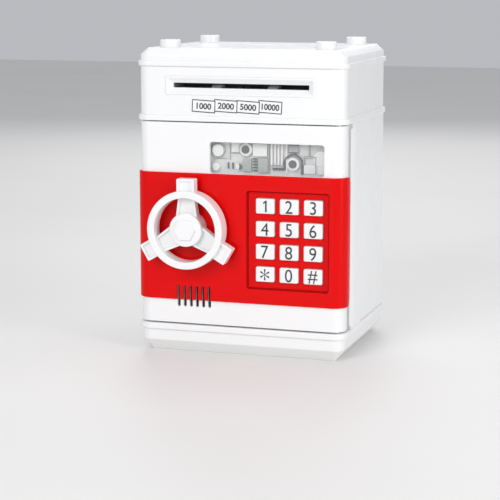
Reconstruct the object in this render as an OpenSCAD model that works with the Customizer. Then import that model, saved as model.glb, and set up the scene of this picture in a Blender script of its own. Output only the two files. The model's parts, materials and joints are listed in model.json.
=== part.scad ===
// A toy cash machine savings bank: a safe-shaped box with a hinged front door, a combination
// keypad, a hand wheel that draws a latch bolt, and a head with a motor-fed note slot.
// X runs to the right, Y to the back, Z up. The origin is the centre of the base's flat underside.

/* [Body] */
// Width of the door, head and lid
body_w = 128; // [124:1:160]
// Depth of the base, head and lid, front to back
body_d = 104; // [98:1:130]
// Radius of the upright corners
corner_r = 7; // [6.5:0.25:8.5]
// Wall thickness of the casings
wall = 2.2; // [1.9:0.1:2.6]
// How far the lips, corner posts and red panel stand proud
lip = 1.4; // [1:0.1:1.8]
// Small chamfer on outer edges
edge = 0.5; // [0.2:0.1:0.8]

/* [Base] */
// Height of the base
base_h = 17.6; // [17.4:0.1:24]
// Height of the chamfer round the foot
foot_h = 7; // [4:0.5:9]
// How far the chamfer runs in
foot_in = 6; // [4:0.5:6.3]
// Height of the lip round the top of the base
base_lip_h = 3.7; // [2:0.1:5]
// Thickness of the plate under the base
plate_t = 2; // [1.6:0.1:3]

/* [Vault] */
// Height of the vault between base and head
vault_h = 123.5; // [120:0.5:160]
// Thickness of the vault floor
floor_t = 2; // [1.5:0.1:3]
// Depth of the thick jambs behind the door
jamb_d = 10; // [9:0.5:14]
// Width of a jamb, from the side of the body to the door frame
jamb_w = 6.9; // [6.5:0.1:9]
// Width of each corner post on the sides
post_d = 22; // [18:1:30]
// How far the side panels sit behind the corner posts
panel_step = 1; // [0.4:0.1:1.2]
// Depth of the scoop beside the door
scoop_in = 1.2; // [0.8:0.1:3.8]
// Length of the scoop, front to back
scoop_d = 8; // [6:1:16]
// Thickness of the door frame
frame_t = 1.7; // [1.2:0.1:2.4]

/* [Head and lid] */
// Height of the head above the vault
head_h = 32.4; // [32:0.2:44]
// Height of the lip round the foot of the head
head_lip_h = 3.3; // [2:0.1:5]
// Height of the lip round the foot of the lid
lid_lip_h = 2.9; // [1.5:0.1:4]
// Height of the lid's upright band above its lip
lid_band_h = 3.6; // [2.5:0.1:6]
// Height of the chamfer on the lid
lid_bevel_h = 4; // [3:0.25:6]
// How far the lid's chamfer runs in
lid_bevel_in = 4.5; // [3:0.25:6]
// Radius of the four posts on the lid
post_r = 6.25; // [4:0.25:8]
// Height of the posts on the lid
post_h = 4.5; // [2:0.5:8]
// Distance of the posts from the sides, and from the front and back
post_in = 15.5; // [13:0.5:22]

/* [Slots] */
// Width of the note slot
slot_w = 84; // [70:1:86]
// Height of the note slot
slot_h = 2.9; // [2.5:0.1:3.4]
// Height of the note slot's middle above the foot of the head
slot_up = 21.1; // [20.8:0.1:22]
// Width of the bezel's bevelled recess beyond the slot, each side
bezel_side = 3; // [2:0.25:4]
// Height of the bezel's bevelled recess
bezel_h = 8.8; // [7:0.2:10]
// Depth of the bezel's bevel
bezel_in = 2.2; // [1.5:0.1:3]
// Length of the coin slot in the lid
coin_w = 30; // [27:0.5:34]
// Width of the coin slot
coin_t = 3.4; // [2.8:0.1:3.6]
// Distance of the coin slot behind the middle of the lid
coin_back = 12; // [10:0.5:20]

/* [Door] */
// Gap above and below the door
door_gap = 0.7; // [0.5:0.1:1]
// Depth of the door's side walls
door_d = 10.5; // [10:0.5:12]
// Thickness of the door's front skin and walls
skin = 2; // [1.8:0.1:2.2]
// Gap between the door's side walls and the jambs
jamb_gap = 4.5; // [4:0.25:6]
// Depth of the plug on the back of the door, behind its side walls
plug_d = 12.5; // [12:0.25:14]
// Clearance of the plug inside the door frame
plug_gap = 1.8; // [1.5:0.1:2.5]
// Radius of the hinge pins
hinge_r = 2; // [1.5:0.1:2.2]
// Depth of each hinge pin in the door
hinge_l = 8.7; // [6:0.1:10]

/* [Window] */
// Width of the window
window_w = 70.6; // [50:0.2:76]
// Height of the window
window_h = 18.7; // [14:0.1:20]
// Corner radius of the window
window_r = 2; // [1:0.25:4]
// Distance of the window from the right side
window_side = 12; // [11:0.5:14]

/* [Red panel] */
// Distance of the red panel above the foot of the door
panel_up = 14.7; // [12:0.1:20]
// Height of the red panel
panel_h = 77.3; // [76:0.1:84]
// Radius of the panel's lower corners, where they end on the sides
panel_r = 4.5; // [2:0.25:5]

/* [Keypad] */
// Width of a key
key_w = 11.4; // [9:0.1:12]
// Height of a key
key_h = 9.1; // [8:0.1:10]
// Spacing of the keys, side to side
key_dx = 14.75; // [14.4:0.05:15.5]
// Spacing of the keys, up and down
key_dz = 13.65; // [12.5:0.05:14]
// Travel of a key
key_travel = 1.2; // [0.6:0.1:1.4]
// Clearance round a key in its hole
key_gap = 0.25; // [0.2:0.05:0.4]
// Width of the recess
pad_w = 50.7; // [48:0.1:54]
// Height of the recess
pad_h = 59; // [56:0.5:62]
// Depth of the recess below the panel
pad_in = 2.2; // [1.6:0.1:2.6]
// Distance of the recess from the right side
pad_side = 8.5; // [8.5:0.1:11]
// Distance of the recess above the foot of the red panel
pad_up = 9; // [8:0.5:12]

/* [Hand wheel and latch] */
// Distance of the wheel's axis from the left side
wheel_side = 34.1; // [33:0.1:38]
// Height of the wheel's axis above the foot of the red panel
wheel_up = 44.4; // [42:0.1:48]
// Outer radius of the wheel's ring
ring_r = 23.5; // [20:0.5:25]
// Width of the ring
ring_w = 4.3; // [3.5:0.1:6]
// Depth of the ring
ring_d = 10.5; // [8:0.5:11]
// Distance of the ring's front face from the door's face
reach = 14.5; // [14:0.5:18]
// Radius out to the tips of the grips
grip_r = 30.5; // [28:0.5:31]
// Width of a grip
grip_w = 11; // [8:0.5:13]
// Width of a spoke
spoke_w = 12.6; // [8:0.2:14]
// Radius of the hub
hub_r = 10.05; // [8:0.05:11]
// Hexagon on the hub, across its flats
hex_w = 11.6; // [8:0.2:14]
// Radius of the spindle
spindle_r = 3.5; // [3:0.1:3.8]
// Radius at which the crank pin turns
crank_r = 6.5; // [6:0.1:7]
// Turn of the wheel from unlocked to locked
latch_turn = 75; // [60:1:76]
// Radius of the crank pin
crank_pin_r = 2; // [1.5:0.1:2.2]
// Clearance of the crank pin in the bolt's slot
yoke_gap = 0.35; // [0.3:0.05:0.5]
// Height of the latch bolt
bolt_h = 9.8; // [9.4:0.1:10.4]
// Thickness of the latch bolt
bolt_t = 4; // [3:0.1:4.2]
// Travel of the lock plunger
lock_travel = 3; // [2.5:0.1:3]

/* [Speaker] */
// Number of slots in front of the speaker
vent_n = 6; // [3:1:7]
// Width of a slot
vent_w = 1.9; // [1.2:0.1:2.4]
// Spacing of the slots
vent_dx = 3.9; // [3.2:0.1:4.2]
// Height of a slot
vent_h = 13.4; // [8:0.2:15]
// Distance of the slots above the foot of the door
vent_up = 10.3; // [9:0.1:12]
// Outer radius of the speaker
speaker_r = 14; // [12:0.5:14.5]

/* [Batteries] */
// Radius of a cell
cell_r = 7.1; // [6.8:0.05:7.25]
// Length of a cell with its button
cell_l = 50; // [44:0.5:50.5]
// Number of cells
cell_n = 3; // [2:1:3]

/* [Note feed] */
// Radius of the drive rollers
drive_r = 6; // [5:0.1:6.2]
// Radius of the pinch rollers
pinch_r = 4.2; // [3.5:0.1:4.5]
// Distance of the rollers from the middle
roller_x = 17.5; // [12:0.5:30]
// Distance of the drive shaft behind the front face
feed_back = 14; // [13:0.5:16]
// Gear module
gear_m = 0.8; // [0.7:0.05:0.8]
// Teeth of the gear on the drive shaft
drive_teeth = 24; // [18:1:24]
// Teeth of the reduction gear's large wheel
large_teeth = 30; // [20:1:30]
// Teeth of the small wheels
small_teeth = 10; // [10:1:12]
// Radius of the motor
motor_r = 10; // [8:0.5:10]
// Length of the motor
motor_l = 25; // [18:1:28]

/* [Hidden] */
$fn = 64;
front = -body_d / 2;
side = body_w / 2;
shaft_fit = 0.05;
fit = 0.15;
apart = 0.3;
screw_r = 1.3;
screw_head_r = 2.5;
screw_head_h = 1.6;
cut = 1;
big = 400;

// Heights of the main parting lines
vault_z0 = base_h;
head_z0 = vault_z0 + vault_h;
lid_z0 = head_z0 + head_h;
lid_band_z = lid_z0 + lid_lip_h + lid_band_h;
lid_z1 = lid_band_z + lid_bevel_h;
door_z0 = vault_z0 + door_gap;
door_z1 = head_z0 - door_gap;
in_side = side - wall;
in_depth = body_d / 2 - wall;

// Base
deck_t = 1.4;
deck_z = base_h - deck_t;
plate_in = foot_in - 0.2;
bay_w = 44;
bay_l = cell_l + 5.5;
bay_x = 26;
bay_y1 = body_d / 2 - wall - foot_in - 1.2;
bay_y0 = bay_y1 - bay_l;
bay_wall = 1.2;
cover_t = 1.4;
cell_z = cover_t + 0.2 + cell_r;
tab_w = 10;
tab_l = 8;
tab_t = 3;
tab_y = bay_y0 - tab_l / 2;
plate_screw_x = side - wall - foot_in - 3.7;
plate_screw_y = body_d / 2 - wall - foot_in - 4.5;

// Vault
jamb_y0 = front + door_d + jamb_gap;
jamb_y1 = jamb_y0 + jamb_d;
body_side = side + lip;
jamb_x = body_side - jamb_w;
frame_x = jamb_x - frame_t;
frame_z0 = vault_z0 + floor_t;
frame_sill = 2;
column_r = 3.6;
column_x = in_side - 3.3;
column_y = in_depth - 3.3;
jamb_screw_x = jamb_x + 1.7;
jamb_screw_y = jamb_y0 + 6.5;
body_screws_at = [[column_x, column_y], [-column_x, column_y],
                  [jamb_screw_x, jamb_screw_y], [-jamb_screw_x, jamb_screw_y]];

// Door
door_y1 = front + door_d;
plug_y1 = door_y1 + plug_d;
plug_x = frame_x - plug_gap;
hinge_x = side - 5;
hinge_y = front + 5;
plug_x1 = min(plug_x, hinge_x - 5);
plug_z0 = frame_z0 + frame_sill + 1;
plug_z1 = head_z0 - 2 * frame_sill + 0.5;
hinge_boss_r = 4;
hinge_boss_h = 11.7;
door_screws_at = [[-side + 5.6, door_z0 + 9], [-side + 5.6, door_z1 - 9],
                  [side - 5.6, door_z0 + 22], [side - 5.6, door_z1 - 20.4]];
boss_r = 2.6;

// Red panel, window, keypad
panel_z0 = door_z0 + panel_up;
panel_z1 = panel_z0 + panel_h;
face = front - lip;
window_x1 = side - window_side;
window_x0 = window_x1 - window_w;
window_z0 = panel_z1 + 0.2;
window_z1 = window_z0 + window_h;
lens_t = 1.4;
lens_margin = 1.8;
lens_y = front + skin;
pad_x1 = side - pad_side;
pad_x0 = pad_x1 - pad_w;
pad_z0 = panel_z0 + pad_up;
pad_z1 = pad_z0 + pad_h;
pad_mid_x = (pad_x0 + pad_x1) / 2 + 0.8;
pad_mid_z = (pad_z0 + pad_z1) / 2 + 0.2;
pad_y = face + pad_in;
pad_floor_t = 1.2;
pad_rim = 1;
keys_at = [for (row = [0:3], col = [0:2])
    [pad_mid_x + (col - 1) * key_dx, pad_mid_z + (1.5 - row) * key_dz]];
key_y0 = face + 0.2;
key_flange_y = pad_y + pad_floor_t + apart;
key_flange_t = 1;
key_flange = 0.9;
key_end_y = key_flange_y + key_flange_t + 0.5;
board_t = 1.6;
mat_t = 1;
dome_y = key_end_y + key_travel + apart;
mat_y = dome_y + 0.4;
board_y = mat_y + mat_t;
board_x1 = plug_x1 - skin - 0.3;
board_x0 = pad_x0 - 2;
board_z0 = pad_z0 - 5;
board_z1 = pad_z1 + 4.5;

// Wheel and latch
wheel_x = -side + wheel_side;
wheel_z = panel_z0 + wheel_up;
hub_gap = 0.3;
spindle_boss_r = 7;
spindle_boss_y = door_y1 + 0.5;
crank_y0 = spindle_boss_y + apart;
crank_t = 3.7;
crank_y1 = crank_y0 + crank_t;
bolt_y0 = crank_y1 + 0.8;
bolt_y1 = bolt_y0 + bolt_t;
bolt_travel = 2 * crank_r * sin(latch_turn / 2);
pin_x = wheel_x + crank_r * sin(latch_turn / 2);
pin_z = wheel_z + crank_r * cos(latch_turn / 2);
yoke_r = crank_pin_r + yoke_gap;
bolt_z0 = (pin_z + wheel_z + crank_r) / 2 - bolt_h / 2;
bolt_z1 = bolt_z0 + bolt_h;
bolt_reach = 3.6;
bolt_x0 = -frame_x - bolt_reach + bolt_travel;
bolt_x1 = wheel_x + 20;
lug_w = 2.5;
plunger_r = 2;
plunger_x = bolt_x0 + 8.5;
lug_x0 = plunger_x + plunger_r + 0.35;
plunger_y = (bolt_y0 + bolt_y1) / 2;
plunger_z = bolt_z1 + lock_travel + 0.4;
coil_z0 = plunger_z + 6.4;
coil_h = 22;
coil_w = 14;
coil_d = 6.4;
yoke_t = 1.5;
rail_t = 2;
rail_y = bolt_y1 + apart;

// Speaker
speaker_x = wheel_x + 1.2;
vent_z0 = door_z0 + vent_up;
speaker_z = vent_z0 + vent_h / 2;

// Head
slot_z = head_z0 + slot_up;
bezel_back = 2;
outlet_w = slot_w + 4;
guide_x = slot_w / 2 + 1.6;
bracket_x = guide_x + 0.9;
bracket_t = 2;
path_z = slot_z;
feed_y = front + feed_back;
drive_z = path_z - drive_r;
pinch_z = path_z + apart + pinch_r;
drive_shaft_r = 2;
pinch_shaft_r = 1.5;
outlet_y0 = feed_y + drive_r + 2.2;
outlet_y1 = outlet_y0 + 10;
guide_t = 1.2;
gear_t = 4;
gear_x = bracket_x + bracket_t + 0.7;
gear_x2 = gear_x + gear_t + 0.5;
gear_t2 = 3.5;
lay = 15;
half_turn = 180 + 180 / small_teeth;
mesh1 = gear_m * (drive_teeth + small_teeth) / 2;
mesh2 = gear_m * (large_teeth + small_teeth) / 2;
reducer_y = feed_y + mesh1 * cos(lay);
reducer_z = drive_z + mesh1 * sin(lay);
motor_y = reducer_y + mesh2;
motor_z = reducer_z;
axle_r = 1.5;
motor_shaft_r = 1;
bracket_y0 = front + bezel_in + bezel_back + 0.6;
foot_t = 1.4;
bracket_screw_ys = [bracket_y0 + 2.5, feed_y + 7];
chute_wall = 1.4;

// ---- Shapes that repeat ----

// A flat rectangle with round corners, centred
module round_rect(w, h, r) {
    square([w - 2 * r, h], center = true);
    square([w, h - 2 * r], center = true);
    for (sx = [-1, 1], sy = [-1, 1])
        translate([sx * (w / 2 - r), sy * (h / 2 - r)]) circle(r);
}

// An upright block with round corners, centred in plan, from z0 to z1
module slab(w, d, r, z0, z1) {
    translate([0, 0, z0]) linear_extrude(z1 - z0) round_rect(w, d, r);
}

// A plate that faces the front, with round corners, from corner [x0, z0] to [x1, z1]
module front_plate(x0, x1, z0, z1, y0, y1, r) {
    translate([(x0 + x1) / 2, y1, (z0 + z1) / 2]) rotate([90, 0, 0])
        linear_extrude(y1 - y0) round_rect(x1 - x0, z1 - z0, r);
}

// A box between two corners
module box(a, b) {
    translate(a) cube(b - a);
}

// A block with round upright corners; its edge is a list of [inset, height] from the foot up
module edged_block(w, d, r, line) {
    last = len(line) - 1;
    rotate([90, 0, 0]) linear_extrude(d - 2 * r, center = true)
        polygon(concat([for (p = line) [w / 2 - p[0], p[1]]],
                       [for (i = [last:-1:0]) [line[i][0] - w / 2, line[i][1]]]));
    rotate([90, 0, 90]) linear_extrude(w - 2 * r, center = true)
        polygon(concat([for (p = line) [d / 2 - p[0], p[1]]],
                       [for (i = [last:-1:0]) [line[i][0] - d / 2, line[i][1]]]));
    for (sx = [-1, 1], sy = [-1, 1]) translate([sx * (w / 2 - r), sy * (d / 2 - r), 0]) rotate_extrude()
        polygon(concat([[0, line[0][1]]], [for (p = line) [r - p[0], p[1]]], [[0, line[last][1]]]));
}

// A cylinder along X, along Y towards the front, and a plain upright one
module rod_x(r, x0, x1, y, z) {
    translate([x0, y, z]) rotate([0, 90, 0]) cylinder(h = x1 - x0, r = r);
}

module rod_y(r, y0, y1, x, z) {
    translate([x, y1, z]) rotate([90, 0, 0]) cylinder(h = y1 - y0, r = r);
}

module rod_z(r, z0, z1, x, y) {
    translate([x, y, z0]) cylinder(h = z1 - z0, r = r);
}

// Everything in front of the plane y = y1
module in_front(y1) {
    intersection() {
        children();
        box([-big, -big, -big], [big, y1, big]);
    }
}

// A cross-head screw that points along +Z from the underside of its head
module screw(length) {
    difference() {
        translate([0, 0, -screw_head_h]) cylinder(h = screw_head_h, r = screw_head_r);
        for (turn = [0, 90]) rotate(turn) translate([0, 0, -screw_head_h])
            cube([3, 0.7, 1.6], center = true);
    }
    cylinder(h = length, r = screw_r);
}

// Half the angle of an involute tooth at radius rr, for a gear of n teeth
pressure = 25;
backlash = 0.14;
function to_deg(a) = a * 180 / PI;
function involute(a) = to_deg(tan(a)) - a;
function tooth_half(n, rr) =
    let (rp = gear_m * n / 2, rb = rp * cos(pressure), a = rr > rb ? acos(rb / rr) : 0)
    90 / n - to_deg(backlash / 2 / rp) + involute(pressure) - involute(a);

// A spur gear outline with a tooth centred on +X
module gear_outline(n) {
    rp = gear_m * n / 2;
    rb = rp * cos(pressure);
    tip = rp + 0.8 * gear_m;
    root = rp - gear_m;
    radii = [root, max(root + 0.05, rb), (rb + rp) / 2 + 0.05, rp, (rp + tip) / 2, tip];
    polygon([for (i = [0:n - 1]) each concat(
        [for (k = [0:5]) let (a = i * 360 / n - tooth_half(n, radii[k])) radii[k] * [cos(a), sin(a)]],
        [for (k = [5:-1:0]) let (a = i * 360 / n + tooth_half(n, radii[k])) radii[k] * [cos(a), sin(a)]])]);
}

// Lays a shape drawn in plan so that its X runs back, its Y up and its height along X
module across(x, y, z) {
    translate([x, y, z]) rotate([90, 0, 90]) children();
}

// ---- Base ----

base_edge = [[foot_in, 0], [0, foot_h], [0, base_h - base_lip_h], [edge - lip, base_h - base_lip_h],
             [-lip, base_h - base_lip_h + edge], [-lip, base_h - edge], [edge - lip, base_h]];

module base_plinth() color("white") {
    in_r = corner_r - 1;
    difference() {
        edged_block(body_w, body_d, corner_r, base_edge);
        difference() {
            edged_block(2 * in_side, 2 * in_depth, in_r,
                        [[foot_in - 0.4, -0.01], [0, foot_h], [0, deck_z]]);
            for (sx = [-1, 1], sy = [-1, 1])
                rod_z(2.9, plate_t + 2, deck_z + cut, sx * plate_screw_x, sy * plate_screw_y);
            rod_z(hinge_boss_r, deck_z - 8, deck_z + cut, hinge_x, hinge_y);
        }
        rod_z(hinge_r, base_h - hinge_l, base_h + cut, hinge_x, hinge_y);
        for (p = body_screws_at) {
            rod_z(screw_r + shaft_fit, deck_z - cut, base_h + cut, p[0], p[1]);
            rod_z(screw_head_r + fit, deck_z - screw_head_h - fit, deck_z, p[0], p[1]);
        }
        for (sx = [-1, 1], sy = [-1, 1])
            rod_z(screw_r + shaft_fit, 0, 13, sx * plate_screw_x, sy * plate_screw_y);
        rod_z(1.6, deck_z - cut, base_h + cut, column_x - 9, column_y - 1);
    }
}

module bottom_plate() color("whitesmoke") {
    w = 2 * (in_side - plate_in);
    d = 2 * (in_depth - plate_in);
    bay0 = [bay_x - bay_w / 2, bay_y0];
    difference() {
        union() {
            slab(w, d, 1, 0, plate_t);
            box([bay0[0] - bay_wall, bay_y0 - bay_wall, 0],
                [bay0[0] + bay_w + bay_wall, bay_y1 + bay_wall, deck_z - apart]);
            for (sx = [-1, 1], sy = [-1, 1])
                rod_z(3.6, 0, plate_t + 2, sx * plate_screw_x, sy * plate_screw_y);
            box([bay_x - tab_w / 2 - 1.2, bay_y0 - tab_l - 1.2, 0], [bay_x + tab_w / 2 + 1.2, bay_y0, 9]);
        }
        box([bay0[0], bay_y0, -cut], [bay0[0] + bay_w, bay_y1, base_h]);
        box([bay_x - tab_w / 2, bay_y0 - tab_l, -cut], [bay_x + tab_w / 2, bay_y0 + cut, tab_t + 0.1]);
        rod_z(screw_r + shaft_fit, 0, 8.5, bay_x, tab_y);
        for (sx = [-1, 1], sy = [-1, 1]) {
            rod_z(screw_head_r + fit, -cut, plate_t, sx * plate_screw_x, sy * plate_screw_y);
            rod_z(screw_r + shaft_fit, 0, base_h, sx * plate_screw_x, sy * plate_screw_y);
        }
    }
}

cell_pitch = (bay_w - 0.6) / cell_n;
cells_x = [for (i = [0:cell_n - 1]) bay_x + (i - (cell_n - 1) / 2) * cell_pitch];

module battery_cells() color("dimgray") {
    for (i = [0:cell_n - 1]) translate([cells_x[i], (bay_y0 + bay_y1) / 2, cell_z])
        rotate([i % 2 == 0 ? 90 : -90, 0, 0]) {
            translate([0, 0, -cell_l / 2]) cylinder(h = cell_l - 1.5, r = cell_r);
            translate([0, 0, cell_l / 2 - 1.5]) cylinder(h = 1.5, r = 2.7);
        }
}

module battery_contacts() color("silver") {
    room = (bay_l - cell_l) / 2;
    for (end = [-1, 1]) {
        y_wall = end < 0 ? bay_y0 : bay_y1;
        box([bay_x - bay_w / 2 + 0.6, min(y_wall, y_wall - end * 0.5), cover_t + 0.4],
            [bay_x + bay_w / 2 - 0.6, max(y_wall, y_wall - end * 0.5), deck_z - 0.8]);
        for (i = [0:cell_n - 1]) {
            spring = (i % 2 == 0 ? 1 : -1) == end;
            translate([cells_x[i], y_wall - end * 0.3, cell_z]) rotate([end * 90, 0, 0])
                cylinder(h = room - 0.3 - shaft_fit, r1 = spring ? 4.5 : 3, r2 = spring ? 3 : 2);
        }
    }
}

module battery_cover() color("whitesmoke") {
    gap = 0.25;
    difference() {
        union() {
            box([bay_x - bay_w / 2 + gap, bay_y0 + gap, 0], [bay_x + bay_w / 2 - gap, bay_y1 - gap, cover_t]);
            tab_foot = [bay_x - tab_w / 2 + gap, bay_y0 - tab_l + gap, 0];
            box(tab_foot, [bay_x + tab_w / 2 - gap, bay_y0 + cut, cover_t]);
            box(tab_foot, [bay_x + tab_w / 2 - gap, bay_y0 - 1, tab_t]);
        }
        rod_z(screw_head_r + fit, -cut, screw_head_h + 0.2, bay_x, tab_y);
        rod_z(screw_r + fit, 0, tab_t + cut, bay_x, tab_y);
        for (i = [0:4]) box([bay_x - 9, bay_y1 - 12 + 2 * i, -cut], [bay_x + 9, bay_y1 - 11 + 2 * i, 0.4]);
    }
}

module cover_screw() color("silver")
    translate([bay_x, tab_y, screw_head_h + 0.2]) screw(6);

module plate_screws() color("silver")
    for (sx = [-1, 1], sy = [-1, 1]) translate([sx * plate_screw_x, sy * plate_screw_y, plate_t]) screw(9.5);

// ---- Vault ----

module vault_floor() color("whitesmoke") difference() {
    union() {
        box([fit - jamb_x, jamb_y0, vault_z0], [jamb_x - fit, jamb_y1 + cut, vault_z0 + floor_t]);
        box([fit - in_side, jamb_y1 + fit, vault_z0], [in_side - fit, in_depth - fit, vault_z0 + floor_t]);
    }
    for (sx = [-1, 1]) {
        rod_z(column_r + fit, vault_z0 - cut, frame_z0 + cut, sx * column_x, column_y);
        rod_z(column_r + fit, vault_z0 - cut, frame_z0 + cut, sx * (column_x + 2), column_y + 2);
    }
    rod_z(1.6, vault_z0 - cut, frame_z0 + cut, column_x - 9, column_y - 1);
}

// Radius of the scoop's gentle curve, from its depth and length
scoop_r = (scoop_d * scoop_d + scoop_in * scoop_in) / (2 * scoop_in);
scoop_z0 = vault_z0 + 1.9;
scoop_z1 = head_z0 - 2.7;
strike_gap = 0.5;

module body_shell() color("white") {
    w = 2 * (body_side - panel_step);
    d = body_d + 2 * (lip - panel_step);
    r = corner_r + lip - panel_step;
    difference() {
        union() {
            intersection() {
                slab(w, d, r, vault_z0, head_z0);
                box([-big, jamb_y0, 0], [big, big, big]);
            }
            box([-body_side, jamb_y0, vault_z0], [body_side, jamb_y0 + post_d, head_z0]);
        }
        difference() {
            slab(2 * in_side, 2 * in_depth, corner_r - wall, vault_z0 - cut, head_z0 + cut);
            box([-big, -big, -big], [big, jamb_y1, big]);
            for (sx = [-1, 1])
                rod_z(column_r, vault_z0 - 2 * cut, head_z0 + 2 * cut, sx * column_x, column_y);
        }
        box([-jamb_x, front, vault_z0 - cut], [jamb_x, jamb_y1 + cut, head_z0 + cut]);
        for (sx = [-1, 1])
            rod_z(scoop_r, scoop_z0, scoop_z1, sx * (body_side - scoop_in + scoop_r), jamb_y0);
        for (p = body_screws_at) {
            rod_z(screw_r + shaft_fit, vault_z0 - cut, vault_z0 + 11, p[0], p[1]);
            rod_z(screw_r + shaft_fit, head_z0 - 11, head_z0 + cut, p[0], p[1]);
        }
        box([-frame_x - bolt_reach - strike_gap, bolt_y0 - strike_gap, bolt_z0 - strike_gap],
            [-jamb_x + cut, bolt_y1 + strike_gap, bolt_z1 + strike_gap]);
    }
}

module door_frame() color("gainsboro") difference() {
    front_plate(-jamb_x + shaft_fit, jamb_x - shaft_fit, frame_z0, head_z0, jamb_y0, jamb_y1, 0.5);
    front_plate(-frame_x, frame_x, frame_z0 + frame_sill, head_z0 - frame_sill - 0.5,
                jamb_y0 - cut, jamb_y1 + cut, 1.5);
    box([-jamb_x - cut, bolt_y0 - strike_gap, bolt_z0 - strike_gap],
        [-frame_x + cut, bolt_y1 + strike_gap, bolt_z1 + strike_gap]);
}

module body_screws() color("silver") for (p = body_screws_at) {
    translate([p[0], p[1], deck_z]) screw(10);
    translate([p[0], p[1], head_z0 + wall]) rotate([180, 0, 0]) screw(10);
}

module hinge_pins() color("silver") {
    rod_z(hinge_r, base_h - hinge_l, door_z0 + hinge_l, hinge_x, hinge_y);
    rod_z(hinge_r, door_z1 - hinge_l, head_z0 + hinge_l, hinge_x, hinge_y);
}

// ---- Head and lid ----

head_edge = [[edge - lip, head_z0], [-lip, head_z0 + edge], [-lip, head_z0 + head_lip_h - edge],
             [edge - lip, head_z0 + head_lip_h], [0, head_z0 + head_lip_h], [0, lid_z0]];
bezel_x = slot_w / 2 + bezel_side;
bezel_rim = 1.2;
chute_x = coin_w / 2 + 0.5 + chute_wall;
chute_y = coin_t / 2 + 0.2 + chute_wall;

module head_housing() color("white") difference() {
    union() {
        difference() {
            edged_block(body_w, body_d, corner_r, head_edge);
            slab(2 * in_side, 2 * in_depth, corner_r - wall, head_z0 + wall, lid_z0 + cut);
        }
        rod_z(hinge_boss_r + 0.6, head_z0 + 0.5, head_z0 + hinge_l + 1.5, hinge_x, hinge_y);
    }
    front_plate(-bezel_x - bezel_rim, bezel_x + bezel_rim, slot_z - bezel_h / 2 - bezel_rim,
                slot_z + bezel_h / 2 + bezel_rim, front - cut, front + wall + cut, 1);
    rod_z(hinge_r, head_z0 - cut, head_z0 + hinge_l, hinge_x, hinge_y);
    box([-outlet_w / 2, outlet_y0, head_z0 - cut], [outlet_w / 2, outlet_y1, head_z0 + wall + cut]);
    box([-chute_x - fit, coin_back - chute_y - fit, head_z0 - cut],
        [chute_x + fit, coin_back + chute_y + fit, head_z0 + wall + cut]);
    for (p = body_screws_at) {
        rod_z(screw_r + shaft_fit, head_z0 - cut, head_z0 + wall + cut, p[0], p[1]);
        rod_z(screw_head_r + fit, head_z0 + wall, head_z0 + wall + screw_head_h + fit, p[0], p[1]);
    }
    for (sx = [-1, 1], y = bracket_screw_ys)
        rod_z(screw_r + shaft_fit, head_z0 - cut, head_z0 + wall + cut, sx * (bracket_x + bracket_t + 3), y);
    rod_z(1.6, head_z0 - cut, head_z0 + wall + cut, column_x - 9, column_y - 1);
}

module slot_bezel() color("white") difference() {
    front_plate(-bezel_x - bezel_rim + shaft_fit, bezel_x + bezel_rim - shaft_fit,
                slot_z - bezel_h / 2 - bezel_rim + shaft_fit, slot_z + bezel_h / 2 + bezel_rim - shaft_fit,
                front, front + bezel_in + bezel_back, 1);
    intersection() {
        translate([0, 0, slot_z - bezel_h]) linear_extrude(2 * bezel_h)
            polygon([[-bezel_x - 0.01, front - 0.01], [bezel_x + 0.01, front - 0.01],
                     [slot_w / 2 + 0.8, front + bezel_in], [-slot_w / 2 - 0.8, front + bezel_in]]);
        across(-big, 0, 0) linear_extrude(2 * big)
            polygon([[front - 0.01, slot_z - bezel_h / 2 - 0.01],
                     [front - 0.01, slot_z + bezel_h / 2 + 0.01],
                     [front + bezel_in, slot_z + slot_h / 2 + 0.8],
                     [front + bezel_in, slot_z - slot_h / 2 - 0.8]]);
    }
    front_plate(-slot_w / 2, slot_w / 2, slot_z - slot_h / 2, slot_z + slot_h / 2,
                front - cut, front + 10, 0.4);
}

// The note guide: two plates with a gap for the note between them, and a bend down to the outlet
guide_y0 = bracket_y0;
tray_z = path_z - 1.8;
roof_z = path_z + 1.8;
bend_y = outlet_y1 - guide_t - 0.3;

module note_guide() color("gainsboro") {
    foot = head_z0 + wall;
    difference() {
        union() {
            across(-guide_x, 0, 0) linear_extrude(2 * guide_x) {
                polygon([[guide_y0, tray_z - guide_t], [guide_y0, tray_z], [outlet_y0 - 0.6, tray_z],
                         [outlet_y0 - 0.6, foot], [outlet_y0 - 0.6 - guide_t, foot],
                         [outlet_y0 - 0.6 - guide_t, tray_z - guide_t]]);
                polygon([[guide_y0, roof_z], [guide_y0, roof_z + 0.8], [outlet_y0 - 1, roof_z + 0.8],
                         [bend_y + guide_t, roof_z - 7], [bend_y + guide_t, foot], [bend_y, foot],
                         [bend_y, roof_z - 7.6], [outlet_y0 - 1.6, roof_z]]);
            }
            for (x = [-guide_x - 0.6, guide_x - 1.2]) across(x, 0, 0) linear_extrude(1.8)
                polygon([[guide_y0, tray_z - guide_t], [guide_y0, roof_z + 0.8],
                         [outlet_y0 - 1, roof_z + 0.8],
                         [bend_y + guide_t, roof_z - 7], [bend_y + guide_t, foot],
                         [outlet_y0 - 1.8, foot], [outlet_y0 - 1.8, tray_z - guide_t]]);
        }
        for (sx = [-1, 1]) {
            x = sx * roller_x;
            box([x - 4, feed_y - drive_r - 0.4, tray_z - 3], [x + 4, feed_y + drive_r - 0.2, tray_z + 0.5]);
            box([x - 3.4, feed_y - pinch_r - 0.5, roof_z - 0.5],
                [x + 3.4, feed_y + pinch_r + 0.5, roof_z + 3]);
        }
        box([-5, feed_y - 6, tray_z - 3], [5, feed_y + 1, tray_z + 0.5]);
    }
}

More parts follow.
